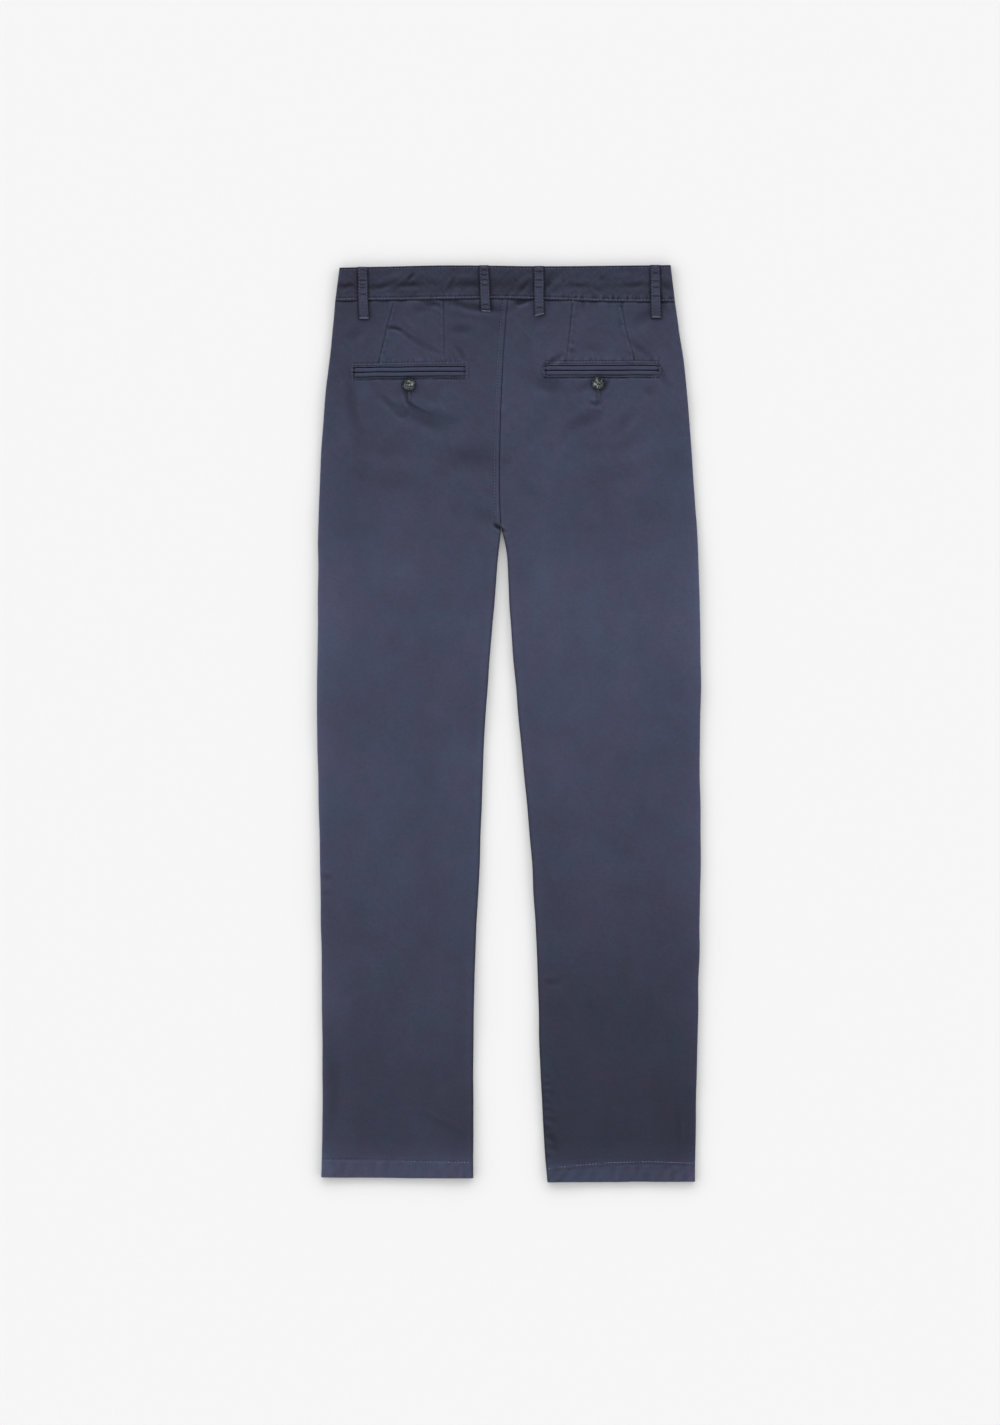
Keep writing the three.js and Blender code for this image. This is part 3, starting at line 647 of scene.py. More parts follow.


# Painted shade down each leg, standing in for the light's fall-off: how light the cloth is painted at each
# place down it, darkest a little above the hems
LEFT_LEG_SHADE = np.array([
    (40, 0.72), (74, 0.795), (212, 0.868), (292, 0.953), (384, 1.05),
    (499, 1.01), (614, 0.968), (729, 0.853), (844, 0.794), (913, 0.695),
    (959, 0.63), (1005, 0.635), (1022, 0.755), (1037, 1.02), (1055, 1.04),
])
RIGHT_LEG_SHADE = np.array([
    (40, 0.78), (74, 0.845), (212, 0.955), (292, 0.975), (384, 1.09),
    (499, 1.0), (614, 0.9), (729, 0.787), (844, 0.615), (913, 0.527),
    (959, 0.487), (1005, 0.45), (1022, 0.54), (1037, 0.815), (1055, 0.85),
])
LEG_SHADES = {"left": LEFT_LEG_SHADE, "right": RIGHT_LEG_SHADE}
CROTCH_SPOT = (-13, 299)
CROTCH_SHADE = {"left": 0.55, "right": 0}


def shaded(tone, darker, paler):
    """A tone made darker and then paler by the shares in each place."""
    for share in darker.values():
        tone = tone * (1 - share)
    for share in paler.values():
        tone = tone * (1 + share)
    return tone


def back_tone(leg_name, x, down):
    """How light the cloth is painted: the leg's painted shade, wear and painted shade in the relief, and the
    marks below.
    """
    leg = LEGS[leg_name]
    outer = np.abs(x - seam_line(leg["outer"], down))
    inner = np.abs(x - inner_line(leg, down))
    apart = smooth(down, CROTCH - 4, CROTCH + 4)
    hollow = np.maximum(0, -folds(x, down, CREASES, True))
    button_x, button_down = POCKET_BUTTONS[leg_name]
    past_rim = np.maximum(0, np.hypot(x - button_x, down - button_down) - BUTTON_RADIUS)
    slit = bell(np.abs(x - button_x) - 2.1, 0.7) * smooth(down, button_down, button_down + 5)
    slit_end = button_down + BUTTONHOLE_END
    # Painted shade in the creases, beside the belt loops, along the parted inseams, in the darts and the
    # waist seam, round the pocket's mouth and box, round the button, along the buttonhole's edges and at the
    # crotch; the outer yoke is only darker
    darker = {
        "outer yoke": 0.1 * smooth(x, -100, -165) * smooth(down, 190, 90),
        "creases": 0.25 * np.minimum(hollow, 1),
        "belt loops": 0.65 * beside_loops(x, down),
        "inseam": 0.6 * apart * bell(inner, 1.7),
        "darts": 0.15 * bell(nearest_dart(leg_name, x, down), 0.7),
        "waist seam": 0.25 * bell(down - WAIST, 1.0),
        "pocket": pocket_relief(leg_name, x, down)[1],
        "button": 0.6 * bell(past_rim, 1.4),
        "buttonhole": 0.5 * slit * (1 - smooth(down, slit_end - 1, slit_end)),
        "crotch": CROTCH_SHADE[leg_name] * bell(np.hypot(x - CROTCH_SPOT[0], down - CROTCH_SPOT[1]), 4.5),
    }
    # Paler along the side seams, partly from wear and partly as a painted highlight on the rolled edges, and
    # a painted highlight just inside the inseams; the hem's and the mottle's swells are uneven dye
    paler = {
        "side seam": (0.12 * bell(outer, 24) + 0.14 * bell(outer, 6)) * smooth(down, 130, 280),
        "inseam": 0.08 * apart * bell(inner - 5, 5),
        "hem": 0.08 * lumps(x, down, 4, 30, 24) * smooth(down, HEM_TOP - 1, HEM_TOP + 1),
        "mottle": swells(x, down, MOTTLE, {"all over": 1}),
    }
    tone = np.interp(down, *LEG_SHADES[leg_name].T) * wear_and_hollow_shade(partial(back_face, leg_name), x, down)
    return shaded(tone, darker, paler)


CLOSENESS = 0.7


def graded(marks, spacings):
    """Odd in number, places from the first mark to the last, closest together at the marks."""
    places = [marks[0]]
    for a, b, spacing in zip(marks, marks[1:], spacings):
        t = np.arange(1, 2 * max(1, round((b - a) / spacing / 2)) + 1)
        t = t / t[-1]
        places.extend(a + (b - a) * mix(t, t * t * (3 - 2 * t), CLOSENESS))
    return np.array(places)


def cloth_grid(down, ends, turns, inside, roll, wall, middle, face, lining):
    """Outer and inner places of cloth from its left end to its right end, a row for each place
    down it. A free end turns down in a quarter round, and an end at a seam stays flat."""
    angle = np.linspace(0, math.pi / 2, ROLL_STEPS + 1)
    flat, curl, lift = roll * angle * 2 / math.pi, 1 - np.cos(angle), np.sin(angle)
    down = down[:, None]
    sides = []
    for end, turn, inward in zip(ends, turns, (1, -1)):
        end, turn = end[:, None], turn[:, None]
        outer_x = end + inward * mix(flat, roll * curl, turn)
        inner_x = end + inward * mix(flat, wall + (roll - wall) * curl, turn)
        outer_z = mix(face(outer_x, down), mix(middle, face(end + inward * roll, down), lift), turn)
        inner_z = mix(lining(inner_x, down), mix(middle, lining(end + inward * roll, down), lift), turn)
        sides.append([grid[:, ::inward] for grid in (outer_x, outer_z, inner_x, inner_z)])
    middle_x = inside[:, 1:-1]
    centre = [middle_x, face(middle_x, down), middle_x, lining(middle_x, down)]
    return [np.concatenate(parts, axis=1) for parts in zip(sides[0], centre, sides[1])]


def wall_faces(rows, columns):
    """Faces of a closed wall: an upper grid, a lower grid of every second row and column under
    it, and the rim between them."""
    up = np.arange(rows * columns).reshape(rows, columns)
    low = np.arange(up[::2, ::2].size).reshape(up[::2, ::2].shape) + up.size

    def cells(*corners):
        return np.stack([corner.ravel() for corner in corners], axis=1).tolist()

    def rim(edge, under):
        return cells(edge[:-2:2], under[:-1], under[1:], edge[2::2], edge[1::2])

    return (
        cells(up[:-1, :-1], up[1:, :-1], up[1:, 1:], up[:-1, 1:])
        + cells(low[:-1, :-1], low[:-1, 1:], low[1:, 1:], low[1:, :-1])
        + rim(up[:, 0], low[:, 0])
        + rim(up[::-1, -1], low[::-1, -1])
        + rim(up[0, ::-1], low[0, ::-1])
        + rim(up[-1], low[-1])
    )


SHARP = math.radians(55)


def add_piece(name, points, faces, material, stands_for=(), tone=None):
    """A piece of the garment, made from its points in the frame and the faces between them."""
    mesh = bpy.data.meshes.new(name)
    mesh.from_pydata(points.tolist(), [], faces)
    mesh.shade_smooth()
    mesh.set_sharp_from_angle(angle=SHARP)
    shades = np.ones(len(mesh.vertices)) if tone is None else tone.ravel()
    mesh.attributes.new("tone", "FLOAT", "POINT").data.foreach_set("value", shades.astype(np.float32))
    mesh.materials.append(material)
    piece = bpy.data.objects.new(name, mesh)
    bpy.context.scene.collection.objects.link(piece)
    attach(piece, "root")
    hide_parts(*stands_for)
    return piece


def add_wall(name, upper, lower, tones, stands_for=()):
    """A closed wall of twill between two grids of points, with odd numbers of rows and columns."""
    points = np.concatenate([upper.reshape(-1, 3), lower[::2, ::2].reshape(-1, 3)])
    shades = [tone + 0 * grid[..., 0] for tone, grid in zip(tones, (upper, lower))]
    tone = np.concatenate([shades[0].ravel(), shades[1][::2, ::2].ravel()])
    faces = wall_faces(*upper.shape[:2])
    return add_piece(name, points, faces, washed_twill, stands_for, tone)


def panel_down(leg, x, nominal):
    """A panel's rows follow the waist seam at the top and the hem at the bottom."""
    outer, inner = along(LEG_LINES, leg["outer"], HEM), along(LEG_LINES, leg["inner"], HEM)
    hem = mix(*leg["hem"], (x - outer) / (inner - outer))
    at_waist = 1 - smooth(nominal, WAIST, WAIST + 60)
    at_hem = smooth(nominal, HEM - 50, HEM_TOP - 2)
    sway = 0.35 * lumps(x, 0, 26, 1, 8)
    return nominal + at_waist * (waist_seam(x) + SEAM_GAP / 2 - WAIST) + at_hem * (hem + sway - HEM)


def leg_ends(leg, down, outer, gap):
    """Left and right ends of a leg's rows, and how far each turns down."""
    inner = inner_line(leg, down) + leg["way"] * gap / 2
    ends, turns = [outer, inner], [np.ones_like(down), parted(down)]
    return (ends, turns) if leg["way"] < 0 else (ends[::-1], turns[::-1])


DART_ROW = 100
BACK_COLUMN_SPACING = 1.5
BACK_MARKS = [WAIST, 110, 116, 122, 128, 134, 300, HEM_TOP, HEM]
BACK_ROWS = graded(BACK_MARKS, [1.3, 0.6, 0.5, 0.5, 0.6, 1.9, 4.6, 1.2])
for leg_name, leg in LEGS.items():
    ends, turns = leg_ends(leg, BACK_ROWS, seam_line(leg["outer"], BACK_ROWS), SEAM_GAP)
    darts = [np.interp(BACK_ROWS, [p[1] for p in dart], [p[0] for p in dart]) for dart in DARTS[leg_name]]
    guides = np.array([ends[0] + EDGE_ROLL, *darts, ends[1] - EDGE_ROLL])
    marks = guides[:, np.searchsorted(BACK_ROWS, DART_ROW)]
    columns = graded(marks, [BACK_COLUMN_SPACING] * (len(marks) - 1))
    shares = np.interp(columns, marks, range(len(marks)))
    inside = np.array([np.interp(shares, range(len(marks)), row) for row in guides.T])
    face = partial(back_face, leg_name)
    outer_x, outer_z, inner_x, inner_z = cloth_grid(
        BACK_ROWS, ends, turns, inside, EDGE_ROLL, SHELL, EDGE_MIDDLE + SEAM_GAP / 2,
        face, lambda x, down: face(x, down) - SHELL)
    rows = BACK_ROWS[:, None]
    upper = placed(outer_x, panel_down(leg, outer_x, rows), outer_z)
    lower = placed(inner_x, panel_down(leg, inner_x, rows), inner_z)
    tone = back_tone(leg_name, outer_x, rows)
    tones = (tone, 0.8 * tone)
    piece = add_wall(f"back_cloth_{leg_name}", upper, lower, tones, [f"back_panel_{leg_name}"])

# Front panels and hip facings
# The same twill, lying face down on the floor under the back. The slanted front pockets cut
# the upper corners off the panels, and a facing fills each corner behind the opening.
FRONT_CREASES = [
    (8, 0.6, (-20, 214), (-56, 196), (-104, 188)),
    (7, 0.5, (-18, 246), (-64, 238), (-112, 246)),
    (9, 0.5, (-40, 304), (-110, 326), (-190, 318)),
    (8, 0.6, (6, 222), (44, 202), (96, 190)),
    (7, 0.5, (4, 252), (54, 246), (102, 258)),
    (9, 0.5, (30, 312), (104, 330), (186, 322)),
    (7, 0.4, (-92, 60), (-70, 96), (-64, 140)),
    (7, 0.4, (60, 58), (74, 98), (70, 150)),
    (12, 0.4, (-200, 596), (-130, 622), (-54, 606)),
    (10, 0.4, (-196, 662), (-120, 650), (-60, 668)),
    (12, 0.4, (44, 610), (120, 634), (200, 618)),
    (10, 0.4, (60, 676), (130, 662), (204, 680)),
    (9, 0.35, (-180, 900), (-110, 930), (-56, 924)),
    (9, 0.35, (70, 930), (140, 912), (196, 940)),
]
FRONT_SWELLS = [
    (0.3, 0, 60, 90, 61, "all over"),
    (0.12, 0, 14, 20, 62, "all over"),
]
FRONT_LIFT = 0.7
FRONT_GAP = 0.01
FRONT_SPACING = 3.5
SLANT_TOP = 52
SLANT_END = WAIST + 152
FACING_END = 180


def slant_line(leg, down, shift):
    """The slanted pocket opening, from the waist seam to the side seam."""
    top = along(LEG_LINES, leg["outer"], WAIST) - leg["way"] * (SLANT_TOP + shift)
    end = along(LEG_LINES, leg["outer"], SLANT_END) - leg["way"] * shift
    return mix(top, end, (down - WAIST) / (SLANT_END - WAIST))


def front_face(x, down):
    """Height of the front's outer face, which lies on the floor but for its creases."""
    face = folds(x, down, FRONT_CREASES, True) + swells(x, down, FRONT_SWELLS, {"all over": 1})
    return np.clip(face, 0, FRONT_LIFT)


def front_wall(name, leg, down, ends, turns, node):
    """Cloth lying face down on the floor."""
    share = np.linspace(0, 1, 2 * max(4, round(np.ptp([ends[0][0], ends[1][0]]) / FRONT_SPACING / 2)) + 1)
    inside = mix(ends[0][:, None] + EDGE_ROLL, ends[1][:, None] - EDGE_ROLL, share)
    grids = cloth_grid(down, ends, turns, inside, EDGE_ROLL, SHELL, EDGE_MIDDLE - SEAM_GAP / 2,
                       front_face, lambda x, d: front_face(x, d) + SHELL)
    outer_x, outer_z, inner_x, inner_z = grids
    rows = down[:, None]
    upper = placed(inner_x, panel_down(leg, inner_x, rows), inner_z)
    lower = placed(outer_x, panel_down(leg, outer_x, rows), outer_z)
    # The face takes the left leg's painted shade down its length and the painted shade of its hollows
    tones = (0.8, np.interp(rows, *LEFT_LEG_SHADE.T) * wear_and_hollow_shade(front_face, outer_x, rows))
    piece = add_wall(name, upper, lower, tones, [node])


for leg_name, leg in LEGS.items():
    rows = graded([WAIST, FACING_END, SLANT_END, HEM_TOP, HEM], [FRONT_SPACING] * 4)
    side = seam_line(leg["outer"], rows)
    cut = mix(slant_line(leg, rows, SEAM_GAP), side, smooth(rows, FACING_END, SLANT_END))
    ends, turns = leg_ends(leg, rows, cut, FRONT_GAP)
    front_wall(f"front_cloth_{leg_name}", leg, rows, ends, turns, f"front_panel_{leg_name}")
    rows = graded([WAIST, FACING_END], [FRONT_SPACING])
    ends = [seam_line(leg["outer"], rows), slant_line(leg, rows, 0)]
    turns = [np.ones_like(rows), np.zeros_like(rows)]
    if leg["way"] > 0:
        ends, turns = ends[::-1], turns[::-1]
    front_wall(f"hip_cloth_{leg_name}", leg, rows, ends, turns, f"hip_facing_{leg_name}")

# Waistband
# A straight band of two layers of the twill over a soft interlining, folded at its top edge
# and topstitched at the waist seam. It has a hollow along its middle from lying folded.
BAND_TOP_OUT = (-195, 186)
BAND_SHELL = 1.9
BAND_ROLL = 3
BAND_MIDDLE = 2.6
BAND_FACE = 5.2
BAND_UNDER = 3.0
BAND_HOLLOW = 0.5
BAND_EDGE_DROP = 0.7
BAND_MARKS = [0, 0.055, 0.5, 0.955, 1]
BAND_CREASES = [
    (3, -1.1, (-197, 23), (-190, 24), (-183, 22.5), (-175, 23.5)),
    (2.8, -1.0, (-162, 25), (-152, 22.5), (-140, 21), (-130, 19)),
    (2.6, -0.9, (-118.5, 18.5), (-114, 14), (-108, 7.5)),
    (3, -1.0, (-136, 28.5), (-123.4, 22.8), (-111, 21.5), (-95, 22.6)),
    (3.5, 0.5, (-158, 14), (-140, 13), (-122, 12)),
    (3, 0.4, (-125, 28), (-105, 29)),
    (3.4, -0.45, (-98, 16), (-84, 20), (-76, 19)),
    (2.6, -0.6, (-74, 33), (-66, 24), (-59, 10)),
    (3.8, -1.1, (-66, 23.5), (-50, 22.8), (-35, 22)),
    (3, 0.5, (-60, 14), (-44, 12)),
    (2.2, -0.5, (-68, 33), (-61, 26)),
    (2.2, -0.5, (-56, 32), (-50, 27)),
    (3, 0.7, (2, 33), (10, 23), (21, 11)),
    (2.6, -0.7, (12, 31), (19, 24), (27, 17)),
    (4, -0.4, (-20, 20), (-4, 22)),
    (4, -0.9, (41, 23), (47, 15), (56, 6)),
    (2.6, 0.5, (46, 26), (58, 16)),
    (3.2, -0.8, (62, 22.5), (72, 21.5), (82, 22.5), (99, 21.5)),
    (2.6, -0.5, (99, 24), (108, 27)),
    (3, -0.5, (104, 10), (112, 14)),
    (3, -0.9, (131, 23.2), (142, 22.6), (160, 21)),
    (3, 0.4, (110, 10), (150, 11)),
    (4, -0.8, (175, 22), (188, 24)),
]
# How light the band is, across it, and by its share of the way down, where the darkening at the top edge,
# where it rolls away, and along its hollow middle is painted shade
BAND_TONE_ACROSS = np.array([(-190, 0.97), (-60, 0.97), (0, 0.88), (60, 1.04), (190, 1.08)])
BAND_SHADES = np.array([
    (0, 0.25), (0.035, 0.3), (0.06, 0.46), (0.1, 0.6), (0.3, 0.63), (0.45, 0.55),
    (0.55, 0.48), (0.63, 0.5), (0.75, 0.58), (0.87, 0.68), (0.93, 0.7), (1, 0.6),
])
BAND_SWELLS = [
    (0.5, 0, 13, 9, 31, "all over"),
    (0.34, 1, 6, 7, 32, "all over"),
    (0.2, -0.6, 3.4, 4.5, 36, "all over"),
    (0.35, 0, 3.2, 14, 35, "seam"),
    (1, 0, 2.1, 30, 37, "puckers"),
]
BAND_MOTTLE = [
    (0.12, 0, 16, 9, 33, "all over"),
    (0.06, 0, 50, 20, 34, "all over"),
]
# How far the rows of stitches and the fold lie, up from the waist seam or down from the top
SEAM_ROW = 1.9
TOP_ROW = 2.6
FOLD_ROW = 3.7
FRONT_TOP_ROW = 3.4


def band_share(x, down):
    return (down - waist_top(x)) / (waist_seam(x) - waist_top(x))


def puckered(x):
    """From 0 to 1, how much the waist seam puckers, most on the right."""
    return smooth(x, 30, 80)


def band_face(x, down):
    """Height of the back waistband's outer face above the floor."""
    share = band_share(x, down)
    seam = down - waist_seam(x)
    places = {
        "all over": 1,
        "seam": bell(seam + 1, 3),
        "puckers": mix(0.3, 1, puckered(x)) * bell(seam + 4, 3),
    }
    face = BAND_FACE - BAND_HOLLOW * np.sin(math.pi * np.clip(share, 0, 1)) ** 2
    face = face - BAND_EDGE_DROP * (1 - smooth(share, -0.01, 0.06))
    face = face + 1.3 * folds(x, down, BAND_CREASES, True) * smooth(share, 0, 0.2)
    face = face + swells(x, down, BAND_SWELLS, places)
    face = face - 0.6 * bell(seam + FOLD_ROW, 0.7) - 0.7 * bell(seam, 0.9)
    face = face - (0.15 + 0.2 * stitched(x, down)) * bell(down - waist_top(x) - TOP_ROW, 0.9)
    return np.maximum(face, BAND_UNDER + 0.3)


def band_tone(x, down):
    """How light the band is painted: its dye, wear, and painted shade and highlight."""
    seam = down - waist_seam(x)
    # Painted shade beside the belt loops, in the fold row, at the waist seam and in the creases
    darker = {
        "belt loops": 0.75 * beside_loops(x, down),
        "fold": 0.3 * bell(seam + FOLD_ROW, 0.7),
        "seam": 0.25 * bell(seam, 0.8),
        "creases": 0.2 * np.maximum(0, -folds(x, down, BAND_CREASES, True)),
    }
    # Painted highlight and shade on the seam's puckers; the mottle is uneven dye
    paler = {
        "puckers": mix(0.05, 0.16, puckered(x)) * bell(seam + 5, 4) * lumps(x, down, 1.8, 5, 38),
        "mottle": swells(x, down, BAND_MOTTLE, {"all over": 1}),
    }
    tone = np.interp(band_share(x, down), *BAND_SHADES.T) * np.interp(x, *BAND_TONE_ACROSS.T)
    return shaded(tone * wear_and_hollow_shade(band_face, x, down), darker, paler)


def band_ends(share):
    return [mix(BAND_TOP_OUT[0], seam_line(LEFT_OUTER, WAIST), share),
            mix(BAND_TOP_OUT[1], seam_line(RIGHT_OUTER, WAIST), share)]


def band_wall(name, ends, turns, spacing, middle, face, lining, tones, node, face_up):
    """One piece of the waistband, a row for each share of its height."""
    share = graded(BAND_MARKS, [spacing / WAIST] * 4)
    ends = [end + 0 * share for end in ends(share)]
    turns = [turn + 0 * share for turn in turns]
    count = 2 * round((ends[1][-1] - ends[0][-1]) / spacing / 2) + 1
    inside = mix(ends[0][:, None] + BAND_ROLL, ends[1][:, None] - BAND_ROLL, np.linspace(0, 1, count))

    def down_at(x, share):
        return mix(waist_top(x), waist_seam(x) - SEAM_GAP / 2, share)

    outer_x, outer_z, inner_x, inner_z = cloth_grid(
        share, ends, turns, inside, BAND_ROLL, BAND_SHELL, middle,
        lambda x, s: face(x, down_at(x, s)), lambda x, s: lining(x, down_at(x, s)))
    outer_down, inner_down = down_at(outer_x, share[:, None]), down_at(inner_x, share[:, None])
    outer, inner = placed(outer_x, outer_down, outer_z), placed(inner_x, inner_down, inner_z)
    shades = tones(outer_x, outer_down), 0.85 * tones(inner_x, inner_down)
    if not face_up:
        outer, inner, shades = inner, outer, shades[::-1]
    piece = add_wall(name, outer, inner, shades, [node])


TAB_END = 20.8
FRONT_BAND_SPACING = 0.8
FRONT_BAND_TONE = 0.66
WAIST_BUTTON = (8.8, 20)
BUTTON_PRESS = 2.2
band_wall("waistband_back_cloth", band_ends, (1, 1), 1.2, BAND_MIDDLE + SEAM_GAP / 2, band_face,
          lambda x, down: 0 * x + BAND_UNDER, band_tone, "waistband_back",
          True)


def from_waist_button(x, down):
    """How far each place is from the edge of the waist button."""
    return np.hypot(x - WAIST_BUTTON[0], down - WAIST_BUTTON[1]) - BUTTON_RADIUS


def front_band_face(x, down):
    """The front band lies on the floor, pressed in round the waist button."""
    return BUTTON_PRESS * smooth(from_waist_button(x, down), 1.9, 0.3)


def front_band_lining(x, down):
    return np.maximum(BAND_SHELL, front_band_face(x, down) + 0.55)


def front_band_tone(x, down):
    # Painted shade in a ring round the waist button, where the band is pressed in
    rim = bell(np.maximum(0, from_waist_button(x, down)), 1.6)
    return FRONT_BAND_TONE * (1 - 0.55 * rim) * (1 + 0.1 * lumps(x, down, 16, 9, 33))


for leg_name, ends, turns in (
    ("right", lambda share: [TAB_END + SEAM_GAP / 2, band_ends(share)[1]], (0, 1)),
    ("left", lambda share: [band_ends(share)[0], TAB_END - SEAM_GAP / 2], (1, 0)),
):
    band_wall(f"waistband_front_{leg_name}_cloth", ends, turns, FRONT_BAND_SPACING,
              BAND_MIDDLE - SEAM_GAP / 2, front_band_face, front_band_lining, front_band_tone,
              f"waistband_front_{leg_name}", False)

# Pocket welts
# Each back pocket opens between two folded strips of the twill, pressed soft and round, that
# meet at the mouth and are caught in a stitched box.
WELT_HEIGHT = 4.5
WELT_THICK = 1.0
MOUTH = 0.9
WELT_SPACING = 1.5
WELT_LIFT = 0.1
WELT_ROWS = np.linspace(-1, 1, 11)


def welt_round(side):
    """How full a folded welt is across its width, from its upper to its lower edge."""
    return (1 - side**4) ** 0.5


for leg_name, ((x0, d0), (x1, d1)) in MOUTHS.items():
    for name, way in (("upper", -1), ("lower", 1)):
        share = np.linspace(0, 1, 2 * round((x1 - x0) / WELT_SPACING / 2) + 1)
        rows = WELT_ROWS[:, None]
        sway = 0.3 * lumps(mix(x0, x1, share), 0, 21, 1, 41)
        middle = mix(d0, d1, share) + way * (MOUTH / 2 + WELT_HEIGHT / 2) + sway
        x = mix(x0, x1, share) + 0 * rows
        down = middle + rows * WELT_HEIGHT / 2
        under = back_face(leg_name, x, middle + 0 * x)
        full = mix(0.3, 1, smooth(share, 0, 0.012) * (1 - smooth(share, 0.988, 1)))
        full = full * (1 + 0.3 * lumps(x, down, 12, 30, 42))
        top = under + WELT_LIFT + (WELT_LIFT + WELT_THICK * welt_round(rows)) * full
        upper = placed(x, down, top)
        lower = placed(x, down, under + WELT_LIFT / 2)
        # Painted shade along each welt's rounded edges, where it turns down to the panel
        shade = mix(0.4, 0.92, welt_round(rows)) * (1 + 0.07 * lumps(x, down, 11, 9, 43))
        node = f"welt_{name}_{leg_name}"
        piece = add_wall(f"{node}_cloth", upper, lower, (shade, shade), [node])

# Belt loops
# Strips of twill folded in three and edge stitched along both sides. They are caught in the top
# of the waistband and tacked down below its seam.
LOOP_THICK = 1.45
LOOP_BOW = 0.5
LOOP_ROWS = 61
LOOP_COLUMNS = np.linspace(-1, 1, 17)
LOOP_DENTS = {
    "side_left": (4.5, 17, 22, 25.2, 33),
    "back_left": (4.6, 10.8, 16.1, 22.3, 44.6, 49.9),
    "back_right": (7, 16.5, 25, 48),
    "side_right": (8.4, 18, 25, 35),
}
LOOP_SKEW = {"side_left": 0, "back_left": 0.55, "back_right": -1.4, "side_right": 0}
EDGE_STITCH = 0.7


def loop_bed(loop, x, down):
    """Height of a loop's under side: over the waistband, and down onto the panel at its end."""
    top, end, end_down = LOOPS[loop]
    leg_name = "left" if top < 0 else "right"
    seam = waist_seam(end)
    low = back_face(leg_name, x, np.maximum(down, seam + 2)) + 0.05
    return mix(BAND_FACE + 0.15, low, smooth(down, mix(seam, end_down, 0.25), end_down)) + 0 * x


def loop_bow(loop, down):
    """How far a loop stands off the waistband, most at its middle."""
    return LOOP_BOW * np.sin(math.pi * np.clip(down / LOOPS[loop][2], 0, 1))


def loop_face(loop, x, down):
    """Height of a loop's outer face."""
    top, _, end_down = LOOPS[loop]
    side = np.clip((x - loop_centre(loop, down)) / (LOOP_WIDTH / 2), -1, 1)
    thick = LOOP_THICK * (1 - side**6) ** 0.5 + 0.1 - 0.33 * bell(np.abs(side) - EDGE_STITCH, 0.13)
    dents = sum(bell(down - dent - 0.8 * side, 1.1) for dent in LOOP_DENTS[loop])
    start = smooth(down, waist_top(top) - 0.5, waist_top(top) + 3)
    face = loop_bed(loop, x, down) + mix(0.4, 1, start) * thick + loop_bow(loop, down)
    face = face - 0.7 * dents * (1 - side**2) + 0.12 * lumps(x, down, 5, 9, 51)
    return face - 0.8 * (1 - start) - 0.3 * smooth(down, end_down - 2.5, end_down)


for loop, (top, end, end_down) in LOOPS.items():
    t = np.linspace(0, 1, LOOP_ROWS)[:, None]
    side = LOOP_COLUMNS
    down = mix(waist_top(top) - 0.35, end_down + 0 * t, t) + LOOP_SKEW[loop] * side * t**8
    x = loop_centre(loop, down) + side * LOOP_WIDTH / 2 + 0.2 * lumps(0 * down, down, 1, 11, 52)
    face = loop_face(loop, x, down)
    upper = placed(x, down, face)
    lower = placed(x, down, np.minimum(loop_bed(loop, x, down) + loop_bow(loop, down), face - 0.3))
    # Painted shade in the dents, with a painted highlight just above each, in the edge stitching grooves and
    # along the rolled edges; the loop is painted darker towards its top
    dents = sum(bell(down - dent, 0.9) - 0.45 * bell(down - dent + 2.4, 1.1) for dent in LOOP_DENTS[loop])
    darker = {
        "stitches": 0.33 * bell(np.abs(side) - 0.68, 0.14),
        "dents": 0.7 * dents * (1 - side**2),
        "edges": 0.75 * smooth(np.abs(side), 0.8, 1),
    }
    paler = {"mottle": 0.12 * lumps(x, down, 4, 6, 53)}
    shade = shaded(mix(0.62, 0.84, smooth(down, 2, 30)), darker, paler)
    piece = add_wall(f"belt_loop_{loop}_cloth", upper, lower, (shade, shade), [f"belt_loop_{loop}"])

# Sewing
# Core-spun polyester thread in a navy one shade lighter than the cloth, in lockstitches 3.6 mm
# long. Each stitch is a short bowed strand with both of its ends pulled into the cloth.
STITCH_PITCH = 3.6
STITCH_SHARE = 0.66
THREAD = 0.25
EDGE_THREAD = 0.2
BOX_THREAD = 0.22
HEM_THREAD = 0.36
BOWS = {1: 0.22, -1: 0.1}
SUNK = 0.12
STRAND_RINGS = np.linspace(0, 1, 5)
STRAND_SIDES = 6
TWIST_PITCH = 0.5


def thread_material(name, dark, light):
    """Spun thread, with a painted highlight on the crown of each turn of its twist."""
    material, tree, shader = new_material(name, {"Roughness": 0.6, "Sheen Weight": 0.1})
    place = add(tree, "ShaderNodeTexCoord").outputs["Object"]
    twist = {"Vector": place, "Scale": DIAGONAL_WAVE / (TWIST_PITCH * MM), "Distortion": 1}
    ply = add(tree, "ShaderNodeTexWave", {"bands_direction": "DIAGONAL"}, twist).outputs["Fac"]
    shade = {0: ply, 6: linear(dark), 7: linear(light)}
    colour = add(tree, "ShaderNodeMix", {"data_type": "RGBA"}, shade).outputs[2]
    tree.links.new(colour, shader.inputs["Base Color"])
    return material


navy_thread = thread_material("core_spun_navy_thread", "#4b5066", "#666b82")
worn_thread = thread_material("core_spun_worn_thread", "#565b73", "#777c93")
buttonhole_thread = thread_material("dark_buttonhole_gimp", "#252836", "#3c4052")


